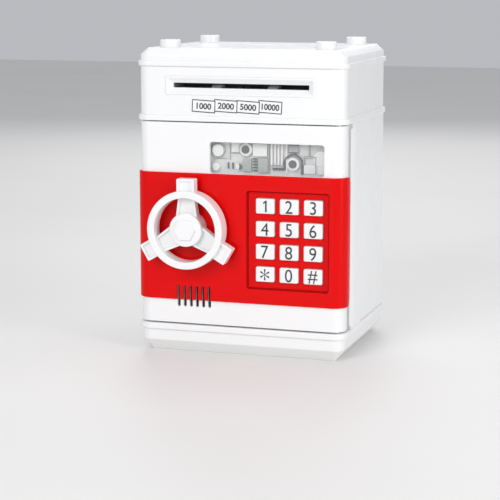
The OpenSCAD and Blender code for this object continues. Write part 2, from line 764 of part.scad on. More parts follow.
module note_sensor() color("#3b3f45") {
    box([-4.5, feed_y - 5.5, head_z0 + wall], [4.5, feed_y - 2.4, tray_z - 0.1]);
    box([-3.6, feed_y - 5.2, tray_z - 3], [-1, feed_y - 2.4, tray_z + 0.9]);
    box([1, feed_y - 5.2, tray_z - 3], [3.6, feed_y - 2.4, tray_z + 0.9]);
}

module bracket_plate(y1) {
    foot = head_z0 + wall;
    difference() {
        union() {
            across(0, 0, 0) linear_extrude(bracket_t)
                polygon([[bracket_y0, foot], [bracket_y0, pinch_z + 3], [feed_y + 6, pinch_z + 3],
                         [y1 - 3, motor_z + 9], [y1, motor_z + 6], [y1, foot]]);
            box([0, bracket_y0, foot], [bracket_t + 6, feed_y + 10, foot + foot_t]);
        }
        rod_x(drive_shaft_r + shaft_fit, -cut, bracket_t + cut, feed_y, drive_z);
        rod_x(pinch_shaft_r + shaft_fit, -cut, bracket_t + cut, feed_y, pinch_z);
        for (y = bracket_screw_ys) rod_z(screw_r + fit, foot - cut, foot + foot_t + cut, bracket_t + 3, y);
    }
}

module feed_brackets() color("lightgray") {
    difference() {
        translate([bracket_x, 0, 0]) bracket_plate(motor_y + 9);
        rod_x(motor_shaft_r + 1.6, bracket_x - cut, bracket_x + bracket_t + cut, motor_y, motor_z);
    }
    rod_x(axle_r, bracket_x + bracket_t - 0.2, gear_x2 + gear_t2 + 0.8, reducer_y, reducer_z);
    mirror([1, 0, 0]) translate([bracket_x, 0, 0]) bracket_plate(feed_y + 11);
}

module bracket_screws() color("silver") for (sx = [-1, 1], y = bracket_screw_ys)
    translate([sx * (bracket_x + bracket_t + 3), y, head_z0 + wall + foot_t]) rotate([180, 0, 0]) screw(3.5);

module feed_motor() color("silver") difference() {
    union() {
        intersection() {
            rod_x(motor_r, bracket_x - motor_l, bracket_x, motor_y, motor_z);
            box([-big, -big, motor_z - motor_r + 2.5], [big, big, motor_z + motor_r - 2.5]);
        }
        rod_x(2.4, bracket_x - cut, bracket_x + bracket_t, motor_y, motor_z);
        rod_x(3, bracket_x - motor_l - 1.5, bracket_x - motor_l + cut, motor_y, motor_z);
    }
    rod_x(motor_shaft_r + shaft_fit, bracket_x - 8, bracket_x + big, motor_y, motor_z);
}

module coin_chute() color("gainsboro") difference() {
    box([-chute_x, coin_back - chute_y, head_z0], [chute_x, coin_back + chute_y, lid_z1 - wall]);
    box([-chute_x + chute_wall, coin_back - chute_y + chute_wall, 0],
        [chute_x - chute_wall, coin_back + chute_y - chute_wall, big]);
}

lid_edge = [[edge - lip, lid_z0], [-lip, lid_z0 + edge], [-lip, lid_z0 + lid_lip_h - edge],
            [edge - lip, lid_z0 + lid_lip_h], [0, lid_z0 + lid_lip_h], [0, lid_band_z],
            [lid_bevel_in, lid_z1]];

module top_lid() color("white") {
    difference() {
        union() {
            edged_block(body_w, body_d, corner_r, lid_edge);
            for (sx = [-1, 1], sy = [-1, 1])
                translate([sx * (side - post_in), sy * (body_d / 2 - post_in), lid_z1 - cut]) {
                    cylinder(h = post_h + cut - edge, r = post_r);
                    translate([0, 0, post_h + cut - edge])
                        cylinder(h = edge, r1 = post_r, r2 = post_r - edge);
                }
        }
        slab(2 * in_side, 2 * in_depth, corner_r - wall, lid_z0 - cut, lid_band_z - 1);
        slab(2 * (in_side - lid_bevel_in), 2 * (in_depth - lid_bevel_in), 2, lid_z0, lid_z1 - wall);
        translate([0, coin_back, 0]) slab(coin_w, coin_t, 0.8, lid_z0, lid_z1 + cut);
    }
    difference() {
        union() {
            slab(2 * (in_side - fit), 2 * (in_depth - fit), corner_r - wall - fit, lid_z0 - 3, lid_z0 + cut);
            slab(2 * in_side + fit, 2 * in_depth + fit, corner_r - wall, lid_z0 + fit, lid_z0 + cut);
        }
        slab(2 * (in_side - 1.6), 2 * (in_depth - 1.6), corner_r - wall - 1.4, lid_z0 - 4, lid_z0 + 2 * cut);
    }
}

board_back_y = in_depth - 6;

module control_board() color("darkgreen") {
    z0 = head_z0 + wall + 2;
    box([-38, board_back_y, z0], [30, board_back_y + board_t, z0 + 20]);
    box([-14, board_back_y - 1.6, z0 + 6], [-2, board_back_y + 0.2, z0 + 16]);
    box([8, board_back_y - 4, z0 + 3], [20, board_back_y + 0.2, z0 + 8]);
    for (x = [-33, -25]) rod_y(2.6, board_back_y - 6.8, board_back_y + 0.2, x, z0 + 8);
    for (x = [-30, 24]) box([x - 2, board_back_y + 0.2, head_z0 + wall], [x + 2, in_depth, z0 + 4]);
}

// The two-core lead from the battery bay up the back corner to the head
module battery_lead() color("#a02020")
    rod_z(1.25, deck_z - 4, head_z0 + wall + 12, column_x - 9, column_y - 1);

// ---- Note feed ----

module drive_shaft() color("silver") {
    rod_x(drive_shaft_r, -bracket_x - bracket_t - 2, gear_x + gear_t, feed_y, drive_z);
    rod_x(drive_shaft_r + 1.2, -bracket_x - bracket_t - 1.9, -bracket_x - bracket_t - 0.3, feed_y, drive_z);
}

module rollers(r, bore, w, z) {
    for (sx = [-1, 1]) difference() {
        rod_x(r, sx * roller_x - w / 2, sx * roller_x + w / 2, feed_y, z);
        rod_x(bore, sx * roller_x - w, sx * roller_x + w, feed_y, z);
    }
}

module drive_rollers() color("lightgray") rollers(drive_r, drive_shaft_r, 6, drive_z);

module drive_gear() color("ivory") across(gear_x, feed_y, drive_z) difference() {
    linear_extrude(gear_t) rotate(lay) gear_outline(drive_teeth);
    translate([0, 0, -cut]) cylinder(h = gear_t + 2 * cut, r = drive_shaft_r);
}

module pinch_shaft() color("silver") {
    rod_x(pinch_shaft_r, -bracket_x - bracket_t - 1.5, bracket_x + bracket_t + 0.4, feed_y, pinch_z);
    rod_x(pinch_shaft_r + 1, -bracket_x - bracket_t - 1.4, -bracket_x - bracket_t - 0.3, feed_y, pinch_z);
}

module pinch_rollers() color("lightgray") rollers(pinch_r, pinch_shaft_r, 5, pinch_z);

module reduction_gear() color("ivory") across(gear_x, reducer_y, reducer_z) difference() {
    union() {
        linear_extrude(gear_x2 - gear_x + 0.1) rotate(lay + half_turn) gear_outline(small_teeth);
        translate([0, 0, gear_x2 - gear_x]) linear_extrude(gear_t2) gear_outline(large_teeth);
    }
    translate([0, 0, -cut]) cylinder(h = big, r = axle_r + 0.06);
}

module motor_pinion() color("ivory") {
    across(gear_x2, motor_y, motor_z) linear_extrude(gear_t2) rotate(half_turn) gear_outline(small_teeth);
    rod_x(motor_shaft_r, bracket_x - 7.5, gear_x2 + gear_t2, motor_y, motor_z);
}

// ---- Door ----

module door_blank(z0, z1, grow, chamfer) {
    in_front(door_y1) edged_block(body_w + 2 * grow, body_d + 2 * grow, corner_r + grow,
        [[chamfer, z0], [0, z0 + chamfer], [0, z1 - chamfer], [chamfer, z1]]);
}

module vents(y0, y1) {
    for (i = [0:vent_n - 1]) {
        x = speaker_x + (i - (vent_n - 1) / 2) * vent_dx;
        front_plate(x - vent_w / 2, x + vent_w / 2, vent_z0, vent_z0 + vent_h, y0, y1, vent_w / 2 - 0.05);
    }
}

module door_shell() color("white") difference() {
    union() {
        difference() {
            door_blank(door_z0, door_z1, 0, edge);
            difference() {
                slab(body_w - 2 * skin, body_d - 2 * skin, corner_r - skin, door_z0 + skin, door_z1 - skin);
                for (p = door_screws_at) rod_y(boss_r, front, door_y1 - skin, p[0], p[1]);
            }
        }
        rod_z(hinge_boss_r, door_z0 + edge, door_z0 + hinge_boss_h, hinge_x, hinge_y);
        rod_z(hinge_boss_r, door_z1 - hinge_boss_h, door_z1 - edge, hinge_x, hinge_y);
        rod_y(spindle_boss_r, front + skin / 2, spindle_boss_y, wheel_x, wheel_z);
        difference() {
            rod_y(speaker_r + 1.4, front + skin / 2, front + skin + 3, speaker_x, speaker_z);
            rod_y(speaker_r + fit, front, front + skin + 4, speaker_x, speaker_z);
            box([-big, -big, -big], [big, big, door_z0 + skin / 2]);
        }
        for (x = [board_x0 + 6, board_x1 - 3.5], z = [board_z0 + 1.9, board_z1 - 1.9])
            rod_y(1.7, front + skin / 2, board_y, x, z);
    }
    rod_z(hinge_r + 0.06, door_z0 - cut, door_z0 + hinge_l + 0.5, hinge_x, hinge_y);
    rod_z(hinge_r + 0.06, door_z1 - hinge_l - 0.5, door_z1 + cut, hinge_x, hinge_y);
    rod_y(spindle_r + shaft_fit, face - cut, spindle_boss_y + cut, wheel_x, wheel_z);
    front_plate(window_x0, window_x1, window_z0, window_z1, front - cut, front + skin + cut, window_r);
    front_plate(pad_x0 - pad_rim - fit, pad_x1 + pad_rim + fit, pad_z0 - pad_rim - fit,
                pad_z1 + pad_rim + fit, front - cut, front + skin + cut, 1.5);
    vents(front - cut, front + skin + cut);
    for (p = door_screws_at) rod_y(screw_r + shaft_fit, front + skin + 0.8, door_y1 + cut, p[0], p[1]);
}

module door_back() color("whitesmoke") difference() {
    union() {
        difference() {
            front_plate(-side + skin + fit, side - skin - fit, door_z0 + skin + fit, door_z1 - skin - fit,
                        door_y1 - skin, door_y1, 1);
            rod_z(hinge_boss_r + apart, 0, big, hinge_x, hinge_y);
        }
        front_plate(-plug_x, plug_x1, plug_z0, plug_z1, door_y1 - skin, plug_y1, 2);
    }
    front_plate(-plug_x + skin, plug_x1 - skin, plug_z0 + skin, plug_z1 - skin,
                door_y1 - skin - cut, plug_y1 - skin, 1);
    box([-plug_x - cut, bolt_y0 - apart, bolt_z0 - apart],
        [-plug_x + skin + cut, bolt_y1 + apart, bolt_z1 + apart]);
    for (p = door_screws_at) rod_y(screw_r + shaft_fit, door_y1 - skin - cut, door_y1 + cut, p[0], p[1]);
}

module red_panel() color("#e51b1b") {
    difference() {
        union() {
            intersection() {
                difference() {
                    door_blank(panel_z0, panel_z1, lip, edge);
                    slab(body_w, body_d, corner_r, 0, big);
                }
                across(-big, 0, 0) linear_extrude(2 * big) translate([face + 50, (panel_z0 + panel_z1) / 2]) {
                    square([100, panel_h - 2 * panel_r], center = true);
                    translate([door_d + lip - 100 - panel_r, 0]) square([100, panel_h], center = true);
                    for (sz = [-1, 1]) translate([door_d + lip - 50 - panel_r, sz * (panel_h / 2 - panel_r)])
                        circle(panel_r);
                }
            }
            front_plate(pad_x0 - pad_rim, pad_x1 + pad_rim, pad_z0 - pad_rim, pad_z1 + pad_rim,
                        face + edge, pad_y + pad_floor_t, 1.35);
        }
        front_plate(pad_x0, pad_x1, pad_z0, pad_z1, face - cut, pad_y, 1.5);
        for (p = keys_at) front_plate(p[0] - key_w / 2 - key_gap, p[0] + key_w / 2 + key_gap,
            p[1] - key_h / 2 - key_gap, p[1] + key_h / 2 + key_gap, pad_y - cut, pad_y + 5, 1);
        rod_y(spindle_r + 0.5, face - cut, front + cut, wheel_x, wheel_z);
        vents(face - cut, front + cut);
    }
}

module window_lens() color("#dfe8ee", 0.4)
    front_plate(window_x0 - lens_margin, window_x1 + lens_margin, window_z0 - lens_margin,
                window_z1 + lens_margin, lens_y, lens_y + lens_t, 2);

// Raised dummy machinery behind the window
relief_y = lens_y + lens_t;
relief_t = 1.3;
relief_h = 3.6;
relief_back = relief_y + relief_h + relief_t;

// A relief block, with corners given from the window's lower left corner
module relief_block(x0, x1, z0, z1, high) {
    box([window_x0 + x0, relief_back - relief_t - high, window_z0 + z0],
        [window_x0 + x1, relief_back - relief_t / 2, window_z0 + z1]);
}

module relief_disc(x, z, r, high) {
    rod_y(r, relief_back - relief_t - high, relief_back - relief_t / 2, window_x0 + x, window_z0 + z);
}

module mechanism_relief() color("#b9bbbd") {
    x0 = window_x0 - lens_margin;
    x1 = window_x1 + lens_margin;
    z0 = window_z0 - lens_margin;
    z1 = window_z1 + lens_margin;
    front_plate(x0, x1, z0, z1, relief_back - relief_t, relief_back, 2);
    difference() {
        front_plate(x0, x1, z0, z1, relief_y, relief_back - relief_t / 2, 2);
        front_plate(window_x0 - 0.6, window_x1 + 0.6, window_z0 - 0.6, window_z1 + 0.6, 2 * front, 0, 2);
    }
    relief_disc(3.6, 12.9, 3.9, 2.6);
    relief_disc(2.6, 3.4, 2.9, 2.2);
    relief_block(9, 18.6, 11.6, window_h, 1);
    relief_disc(21.3, 14.4, 3.9, 1.6);
    relief_disc(21.3, 14.4, 2.6, 2.8);
    relief_block(26, 34.6, 9.6, window_h, 1.8);
    relief_disc(16.2, 4.6, 1.9, 1.6);
    relief_block(9.2, 12.6, 2.8, 6.4, 1.2);
    relief_block(19, 24.6, 1.2, 9.2, 1.4);
    for (i = [0:4]) relief_block(25.2, 28.4, 1.6 + 1.5 * i, 2.2 + 1.5 * i, 1.6);
    relief_block(29.2, 35, 0.6, 9.2, 1.4);
    for (i = [0:4]) relief_block(36.4 + 1.7 * i, 37.3 + 1.7 * i, 3.6, window_h, 1.4);
    relief_block(47.6, 53.6, 13.4, 17.6, 1.7);
    relief_block(45.6, 54.6, 0, 6, 1.2);
    relief_disc(50.1, 6.4, 4.6, 1.2);
    relief_disc(50.1, 6.4, 3.5, 2.2);
    relief_disc(50.1, 6.4, 2.3, 3.1);
    relief_block(56, 63, 0.6, 9, 1.6);
    relief_disc(67.4, 12.4, 3, 1.9);
}

module key_mat() color("#6f7377") {
    front_plate(pad_x0 + 1, board_x1 - 0.4, pad_z0 + 1, pad_z1 - 1, mat_y, board_y, 1);
    for (p = keys_at) rod_y(2.8, dome_y, mat_y + mat_t / 2, p[0], p[1]);
}

module key_board() color("darkgreen") difference() {
    front_plate(board_x0, board_x1, board_z0, board_z1, board_y, board_y + board_t, 0.5);
    for (x = [board_x0 + 3], z = [board_z0 + 2.2, board_z1 - 2.2]) rod_y(1.1, front, 0, x, z);
}

// Moves a shape drawn about the origin onto the speaker's axis, with +Z towards the front
module at_speaker() {
    translate([speaker_x, front + skin, speaker_z]) rotate([90, 0, 0]) children();
}

module speaker_frame() color("#50545a") at_speaker() rotate_extrude() polygon([
    [speaker_r - 2, 0], [speaker_r, 0], [speaker_r, -1.4], [speaker_r - 2.4, -1.4], [8.4, -5], [7.4, -5],
    [7.4, -9.6], [0, -9.6], [0, -5.6], [6.6, -4], [speaker_r - 3.6, -1], [speaker_r - 2, -0.6]]);

module speaker_cone() color("#2d2f33") at_speaker() rotate_extrude() polygon([
    [0, -1.6], [2.6, -1.9], [3.6, -3], [speaker_r - 3.6, -0.4], [speaker_r - 2.2, -0.1],
    [speaker_r - 2.2, -0.5], [speaker_r - 3.6, -0.8], [4, -3.5], [0, -3.5]]);

module lock_coil() color("#7a6a3a") difference() {
    x0 = plunger_x - coil_w / 2;
    x1 = plunger_x + coil_w / 2;
    y1 = plug_y1 - skin;
    union() {
        box([x0, y1 - coil_d, coil_z0], [x1, y1, coil_z0 + yoke_t]);
        box([x0, y1 - coil_d, coil_z0 + coil_h - yoke_t], [x1, y1, coil_z0 + coil_h]);
        box([x0, y1 - coil_d, coil_z0], [x0 + yoke_t, y1, coil_z0 + coil_h]);
        rod_z(3, coil_z0 + 0.5, coil_z0 + coil_h - 0.5, plunger_x, plunger_y);
    }
    rod_z(plunger_r + 0.08, coil_z0 - cut, coil_z0 + coil_h - 3, plunger_x, plunger_y);
}

module latch_guide() color("gainsboro") {
    x0 = -plug_x + skin + shaft_fit;
    x1 = bolt_x1 - 2;
    y1 = plug_y1 - skin;
    box([x0, rail_y, bolt_z0 - apart - rail_t], [x1, y1, bolt_z1 + apart + rail_t]);
    box([x0, bolt_y0, bolt_z0 - apart - rail_t], [x1, y1, bolt_z0 - apart]);
    box([x0, bolt_y0, bolt_z1 + apart], [bolt_x0 + 2.4, y1, bolt_z1 + apart + rail_t]);
    box([lug_x0 + lug_w + 1, bolt_y0, bolt_z1 + apart], [x1, y1, bolt_z1 + apart + rail_t]);
}

module door_screws() color("silver") for (p = door_screws_at)
    translate([p[0], door_y1, p[1]]) rotate([90, 0, 0]) screw(6);

// ---- Hand wheel and latch ----

// Moves a shape drawn about the origin onto the wheel's axis, with +Z towards the front
module at_wheel() {
    translate([wheel_x, front, wheel_z]) rotate([90, 0, 0]) children();
}

hub_top = reach - 1.6;
spoke_top = reach - 4.5;
grip_top = reach - 2.6;
grip_d = 6.4;
grip_rim = 1.6;
hub_foot = lip + hub_gap;

module ring_section() {
    r = 1;
    translate([ring_r - ring_w / 2, reach - ring_d / 2]) round_rect(ring_w, ring_d, r);
}

module hand_wheel() color("white") at_wheel() difference() {
    union() {
        rotate_extrude() ring_section();
        translate([0, 0, hub_foot]) cylinder(h = hub_top - hub_foot - edge, r = hub_r);
        translate([0, 0, hub_top - edge]) cylinder(h = edge, r1 = hub_r, r2 = hub_r - edge);
        translate([0, 0, hub_top - cut]) cylinder(h = cut + 1.6, r = hex_w / sqrt(3), $fn = 6);
        for (turn = [90, 210, 330]) rotate(turn) {
            box([0, -spoke_w / 2, spoke_top - 5], [ring_r - ring_w / 2, spoke_w / 2, spoke_top - 0.8]);
            for (s = [-1, 1]) translate([0, s * (spoke_w / 2 - 0.6), 0])
                box([0, -0.6, spoke_top - 2], [ring_r - ring_w / 2, 0.6, spoke_top]);
            difference() {
                box([ring_r - ring_w / 2, -grip_w / 2, grip_top - grip_d], [grip_r, grip_w / 2, grip_top]);
                box([ring_r - ring_w / 2, -grip_w / 2 + grip_rim, grip_top - 0.8],
                    [grip_r - grip_rim, grip_w / 2 - grip_rim, grip_top + cut]);
            }
        }
    }
    translate([0, 0, -cut]) cylinder(h = 10, r = spindle_r);
}

module spindle() color("silver") difference() {
    rod_y(spindle_r, front - 9, crank_y1 - 2, wheel_x, wheel_z);
    rod_y(screw_r, crank_y1 - 9, crank_y1, wheel_x, wheel_z);
}

module latch_crank() color("lightgray") {
    difference() {
        rod_y(crank_r + 3, crank_y0, crank_y1, wheel_x, wheel_z);
        rod_y(spindle_r, crank_y0 - cut, crank_y1 - 2, wheel_x, wheel_z);
        rod_y(screw_head_r + fit, crank_y1 - 2 - 0.01, crank_y1 + cut, wheel_x, wheel_z);
    }
    rod_y(crank_pin_r, crank_y1 - 0.5, bolt_y1 - 0.4, pin_x, pin_z);
}

module spindle_screw() color("silver")
    translate([wheel_x, crank_y1 - 2, wheel_z]) rotate([90, 0, 0]) screw(6);

module latch_bolt() color("silver") difference() {
    union() {
        box([bolt_x0, bolt_y0, bolt_z0], [bolt_x1, bolt_y1, bolt_z1]);
        box([lug_x0, bolt_y0, bolt_z1 - cut], [lug_x0 + lug_w, bolt_y1, bolt_z1 + lock_travel]);
    }
    front_plate(pin_x - yoke_r, pin_x + yoke_r, pin_z - yoke_r, wheel_z + crank_r + yoke_r,
                bolt_y0 - cut, bolt_y1 + cut, yoke_r - 0.05);
}

module lock_plunger() color("silver") {
    rod_z(plunger_r, plunger_z, coil_z0 + coil_h - 8, plunger_x, plunger_y);
    rod_z(plunger_r + 1, plunger_z + lock_travel, plunger_z + lock_travel + 0.8, plunger_x, plunger_y);
}

// ---- Keys ----

module key(i) color("white") {
    p = keys_at[i];
    w = key_w / 2;
    h = key_h / 2;
    front_plate(p[0] - w, p[0] + w, p[1] - h, p[1] + h, key_y0 + 0.3, key_flange_y + 0.1, 0.9);
    front_plate(p[0] - w + 0.3, p[0] + w - 0.3, p[1] - h + 0.3, p[1] + h - 0.3, key_y0, key_flange_y, 0.7);
    front_plate(p[0] - w - key_flange, p[0] + w + key_flange, p[1] - h - key_flange, p[1] + h + key_flange,
                key_flange_y, key_flange_y + key_flange_t, 0.9);
    rod_y(2.5, key_flange_y, key_end_y, p[0], p[1]);
}

base_plinth();
bottom_plate();
battery_cells();
battery_contacts();
battery_cover();
cover_screw();
plate_screws();
vault_floor();
body_shell();
door_frame();
body_screws();
hinge_pins();
head_housing();
slot_bezel();
note_guide();
note_sensor();
feed_brackets();
bracket_screws();
feed_motor();
coin_chute();
top_lid();
control_board();
battery_lead();
drive_shaft();
drive_rollers();
drive_gear();
pinch_shaft();
pinch_rollers();
reduction_gear();
motor_pinion();
door_shell();
door_back();
red_panel();
window_lens();
mechanism_relief();
key_mat();
key_board();
speaker_frame();
speaker_cone();
lock_coil();
latch_guide();
door_screws();
hand_wheel();
spindle();
latch_crank();
spindle_screw();
latch_bolt();
lock_plunger();
key(0);  // key_1
key(1);  // key_2
key(2);  // key_3
key(3);  // key_4
key(4);  // key_5
key(5);  // key_6
key(6);  // key_7
key(7);  // key_8
key(8);  // key_9
key(9);  // key_star
key(10);  // key_0
key(11);  // key_hash
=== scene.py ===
import json
from math import cos, pi, radians, sin, sqrt

import bpy
import numpy as np
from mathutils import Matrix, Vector
from mathutils.geometry import tessellate_polygon


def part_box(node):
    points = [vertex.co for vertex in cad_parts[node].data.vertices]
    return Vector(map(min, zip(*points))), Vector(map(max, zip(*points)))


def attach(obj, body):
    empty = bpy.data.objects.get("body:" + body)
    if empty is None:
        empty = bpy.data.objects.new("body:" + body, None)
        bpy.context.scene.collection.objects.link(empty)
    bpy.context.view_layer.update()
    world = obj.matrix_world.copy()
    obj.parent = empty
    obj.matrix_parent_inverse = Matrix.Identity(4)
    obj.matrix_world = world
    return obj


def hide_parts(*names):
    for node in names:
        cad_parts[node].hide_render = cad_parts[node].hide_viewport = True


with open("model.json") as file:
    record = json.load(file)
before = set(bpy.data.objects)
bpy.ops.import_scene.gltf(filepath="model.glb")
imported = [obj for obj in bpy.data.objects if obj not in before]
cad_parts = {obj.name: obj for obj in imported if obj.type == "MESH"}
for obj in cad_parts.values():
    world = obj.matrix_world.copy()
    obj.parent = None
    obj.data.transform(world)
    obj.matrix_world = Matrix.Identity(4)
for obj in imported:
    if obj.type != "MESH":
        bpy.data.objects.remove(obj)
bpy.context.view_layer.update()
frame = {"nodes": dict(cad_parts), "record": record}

# Lengths in the dictionaries are millimetres; the scene itself is in metres.
mm = 0.001


# Arcs in place of corners. Each centre lies on the corner's bisector, radius / sin(half angle) away,
# and the normal turns evenly from the side that arrives to the side that leaves.
def cornerArcs(corners, before, after, radii, steps):
    back = (before - corners) / np.linalg.norm(before - corners, axis=1, keepdims=True)
    ahead = (after - corners) / np.linalg.norm(after - corners, axis=1, keepdims=True)
    bisector = back + ahead
    bisector /= np.linalg.norm(bisector, axis=1, keepdims=True)
    sinHalf = np.sqrt(1 - np.sum(back * bisector, axis=1) ** 2)
    centre = corners + bisector * (radii / sinHalf)[:, None]
    arriving = np.arctan2(back[:, 0], -back[:, 1])
    leaving = np.arctan2(-ahead[:, 0], ahead[:, 1])
    turn = (leaving - arriving + pi) % (2 * pi) - pi
    angle = arriving[:, None] + turn[:, None] * np.linspace(0, 1, steps)[None, :]
    normals = np.stack([np.cos(angle), np.sin(angle)], -1)
    points = centre[:, None] + (np.sign(turn) * radii)[:, None, None] * normals
    return points, normals


# A closed outline, anticlockwise, with a radius at each corner; gives its points and outward normals
def roundedOutline(corners, radii, steps=6):
    corners = np.array(corners, float)
    radii = np.broadcast_to(np.array(radii, float), len(corners))
    points, normals = cornerArcs(corners, np.roll(corners, 1, 0), np.roll(corners, -1, 0), radii, steps)
    return points.reshape(-1, 2), normals.reshape(-1, 2)


# An open line of (inset, height) with a radius at each inner corner
def softLine(corners, radii, steps=5):
    corners = np.array(corners, float)
    radii = np.broadcast_to(np.array(radii, float), len(corners) - 2)
    points, _ = cornerArcs(corners[1:-1], corners[:-2], corners[2:], radii, steps)
    return np.vstack([corners[:1], points.reshape(-1, 2), corners[-1:]])


# The outline moved inwards along its normals, once for each (inset, height)
def insetRings(outline, line):
    points, normals = outline
    return points[None] - line[:, 0][:, None, None] * normals[None]


# A rounded rectangle shrunk by each inset; its corner radius shrinks with it
def rectRings(width, depth, radius, line, centre=(0, 0), steps=8, least=0.3):
    inset = line[:, 0][:, None, None]
    angle = (np.arange(4)[:, None] * pi / 2 + np.linspace(0, pi / 2, steps)[None, :])[None]
    r = np.maximum(radius - inset, least)
    signX = np.array([1, -1, -1, 1])[None, :, None]
    signY = np.array([1, 1, -1, -1])[None, :, None]
    x = centre[0] + signX * (width / 2 - inset - r) + r * np.cos(angle)
    y = centre[1] + signY * (depth / 2 - inset - r) + r * np.sin(angle)
    return np.stack([x, y], -1).reshape(len(line), -1, 2)


# A circle of each radius in turn
def circleRings(radii, count=96, centre=(0, 0)):
    angle = np.arange(count) * 2 * pi / count
    unit = np.stack([np.cos(angle), np.sin(angle)], -1)
    return np.array(centre) + np.array(radii)[:, None, None] * unit[None]


# Triangles over a flat end, inside the first outline and outside the others. Each end is (outline, number of
# its first point). A triangle whose signed area says that it faces the wrong way is turned round.
def endFaces(ends, facing):
    flat = np.vstack([outline for outline, _ in ends])
    index = np.concatenate([start + np.arange(len(outline)) for outline, start in ends])
    faces = np.array(tessellate_polygon([outline.tolist() for outline, _ in ends]))
    a, b, c = flat[faces[:, 0]], flat[faces[:, 1]], flat[faces[:, 2]]
    area = (b[:, 0] - a[:, 0]) * (c[:, 1] - a[:, 1]) - (b[:, 1] - a[:, 1]) * (c[:, 0] - a[:, 0])
    faces[area * facing < 0] = faces[area * facing < 0][:, ::-1]
    return index[faces]


# Quads between points i and i + 1 of rings j and j + 1; i wraps round, and so does j in a closed solid
def ringFaces(rows, count, start, closed, inwards=False):
    j, i = np.meshgrid(np.arange(rows if closed else rows - 1), np.arange(count), indexing="ij")
    k, up = (i + 1) % count, (j + 1) % rows
    faces = np.stack([j * count + i, j * count + k, up * count + k, up * count + i], -1).reshape(-1, 4)
    return start + (faces[:, ::-1] if inwards else faces)


# A solid as points, quads and triangles. Its surface is a function of the place i round the outline and the
# row j: ring j is the outline as it is at height j. The ends are flat, with holes through them, and a hole is
# (rings, heights) too, from the first end to the last. A closed solid joins its last ring to its first.
def solid(rings, heights, holes=(), closed=False):
    points, quads, first, last, start = [], [], [], [], 0
    for wallRings, wallHeights in [(rings, heights), *holes]:
        rows, count = wallRings.shape[:2]
        level = np.broadcast_to(np.array(wallHeights, float)[:, None, None], (rows, count, 1))
        points.append(np.concatenate([wallRings, level], -1).reshape(-1, 3))
        quads.append(ringFaces(rows, count, start, closed, inwards=start > 0))
        first.append((wallRings[0], start))
        last.append((wallRings[-1], start + (rows - 1) * count))
        start += rows * count
    if closed:
        triangles = np.empty((0, 3), int)
    else:
        triangles = np.vstack([endFaces(first, -1), endFaces(last, 1)])
    return np.vstack(points), np.vstack(quads), triangles


# The side of a block as (inset, height): out along its foot, up, and in along its top, with both edges rounded
def softSide(low, high, soft):
    return softLine([(soft * 2, low), (0, low), (0, high), (soft * 2, high)], soft, 4)


# A block on an outline
def softBlock(outline, low, high, soft):
    line = softSide(low, high, soft)
    return solid(insetRings(outline, line), line[:, 1])


# A block on a rounded rectangle that runs from x0 to x1 and from z0 to z1
def softPlate(x0, x1, z0, z1, low, high, radius, soft):
    line = softSide(low, high, soft)
    centre = ((x0 + x1) / 2, (z0 + z1) / 2)
    return solid(rectRings(x1 - x0, z1 - z0, radius, line, centre, 6, 0.08), line[:, 1])


# A round block
def softDisc(x, z, radius, low, high, soft):
    line = softSide(low, high, soft)
    return solid(circleRings(radius - line[:, 0], 48, (x, z)), line[:, 1])


# A part turned about an upright line through its centre: x cos - y sin and x sin + y cos, measured from there
def turned(part, degrees, centre=(0, 0)):
    points, quads, triangles = part
    a = radians(degrees)
    x, y = points[:, 0] - centre[0], points[:, 1] - centre[1]
    placed = [centre[0] + x * cos(a) - y * sin(a), centre[1] + x * sin(a) + y * cos(a), points[:, 2]]
    return np.stack(placed, -1), quads, triangles


# Plan shapes stand as they are; front shapes have their height towards the viewer, along -Y
def inPlan(points):
    return points * mm


def inFront(points):
    return np.stack([points[:, 0], -points[:, 2], points[:, 1]], -1) * mm


# One mesh from several parts, each put in its place; the point numbers in its faces go on from the part before
def meshObject(name, parts, place):
    points, faces, start = [], [], 0
    for partPoints, quads, triangles in parts:
        points.append(place(partPoints))
        faces += (start + quads).tolist() + (start + triangles).tolist()
        start += len(partPoints)
    mesh = bpy.data.meshes.new(name)
    mesh.from_pydata(np.vstack(points).tolist(), [], faces)
    mesh.update()
    piece = bpy.data.objects.new(name, mesh)
    bpy.context.scene.collection.objects.link(piece)
    return piece


# Smooth faces with sharp edges kept, and normals that follow the large flat faces
def shade(piece, angle=40):
    mesh = piece.data
    mesh.polygons.foreach_set("use_smooth", np.ones(len(mesh.polygons), bool))
    mesh.set_sharp_from_angle(angle=radians(angle))
    even = piece.modifiers.new("evenNormals", "WEIGHTED_NORMAL")
    even.keep_sharp = True


# Takes cutters out of a piece, each (part, place), then rounds the new edges a little
def cutOut(piece, cutters, soft=0.0):
    for number, (part, place) in enumerate(cutters):
        cutter = meshObject(f"cutter{number}", [part], place)
        cut = piece.modifiers.new("cut", "BOOLEAN")
        cut.object, cut.solver, cut.operation = cutter, "EXACT", "DIFFERENCE"
        bpy.context.view_layer.update()
        graph = bpy.context.evaluated_depsgraph_get()
        mesh = bpy.data.meshes.new_from_object(piece.evaluated_get(graph))
        piece.modifiers.clear()
        piece.data = mesh
        bpy.data.objects.remove(cutter)
    if soft:
        edge = piece.modifiers.new("softEdge", "BEVEL")
        edge.width, edge.segments, edge.limit_method = soft * mm, 2, "ANGLE"
        edge.angle_limit, edge.use_clamp_overlap = radians(50), True


# A finished piece: its mesh, cuts, finish, the body it rides, its slot and the nodes that it stands in for
def addPiece(name, parts, place, body, finish, replaces=(), cutters=(), soft=0.0):
    piece = meshObject(name, parts, place)
    if cutters:
        cutOut(piece, cutters, soft)
    shade(piece)
    piece.data.materials.clear()
    piece.data.materials.append(finish)
    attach(piece, body)
    if replaces:
        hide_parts(*replaces)
    return piece


def startFinish(name):
    material = bpy.data.materials.new(name)
    material.use_nodes = True
    nodes, links = material.node_tree.nodes, material.node_tree.links
    return material, nodes, links, nodes["Principled BSDF"]


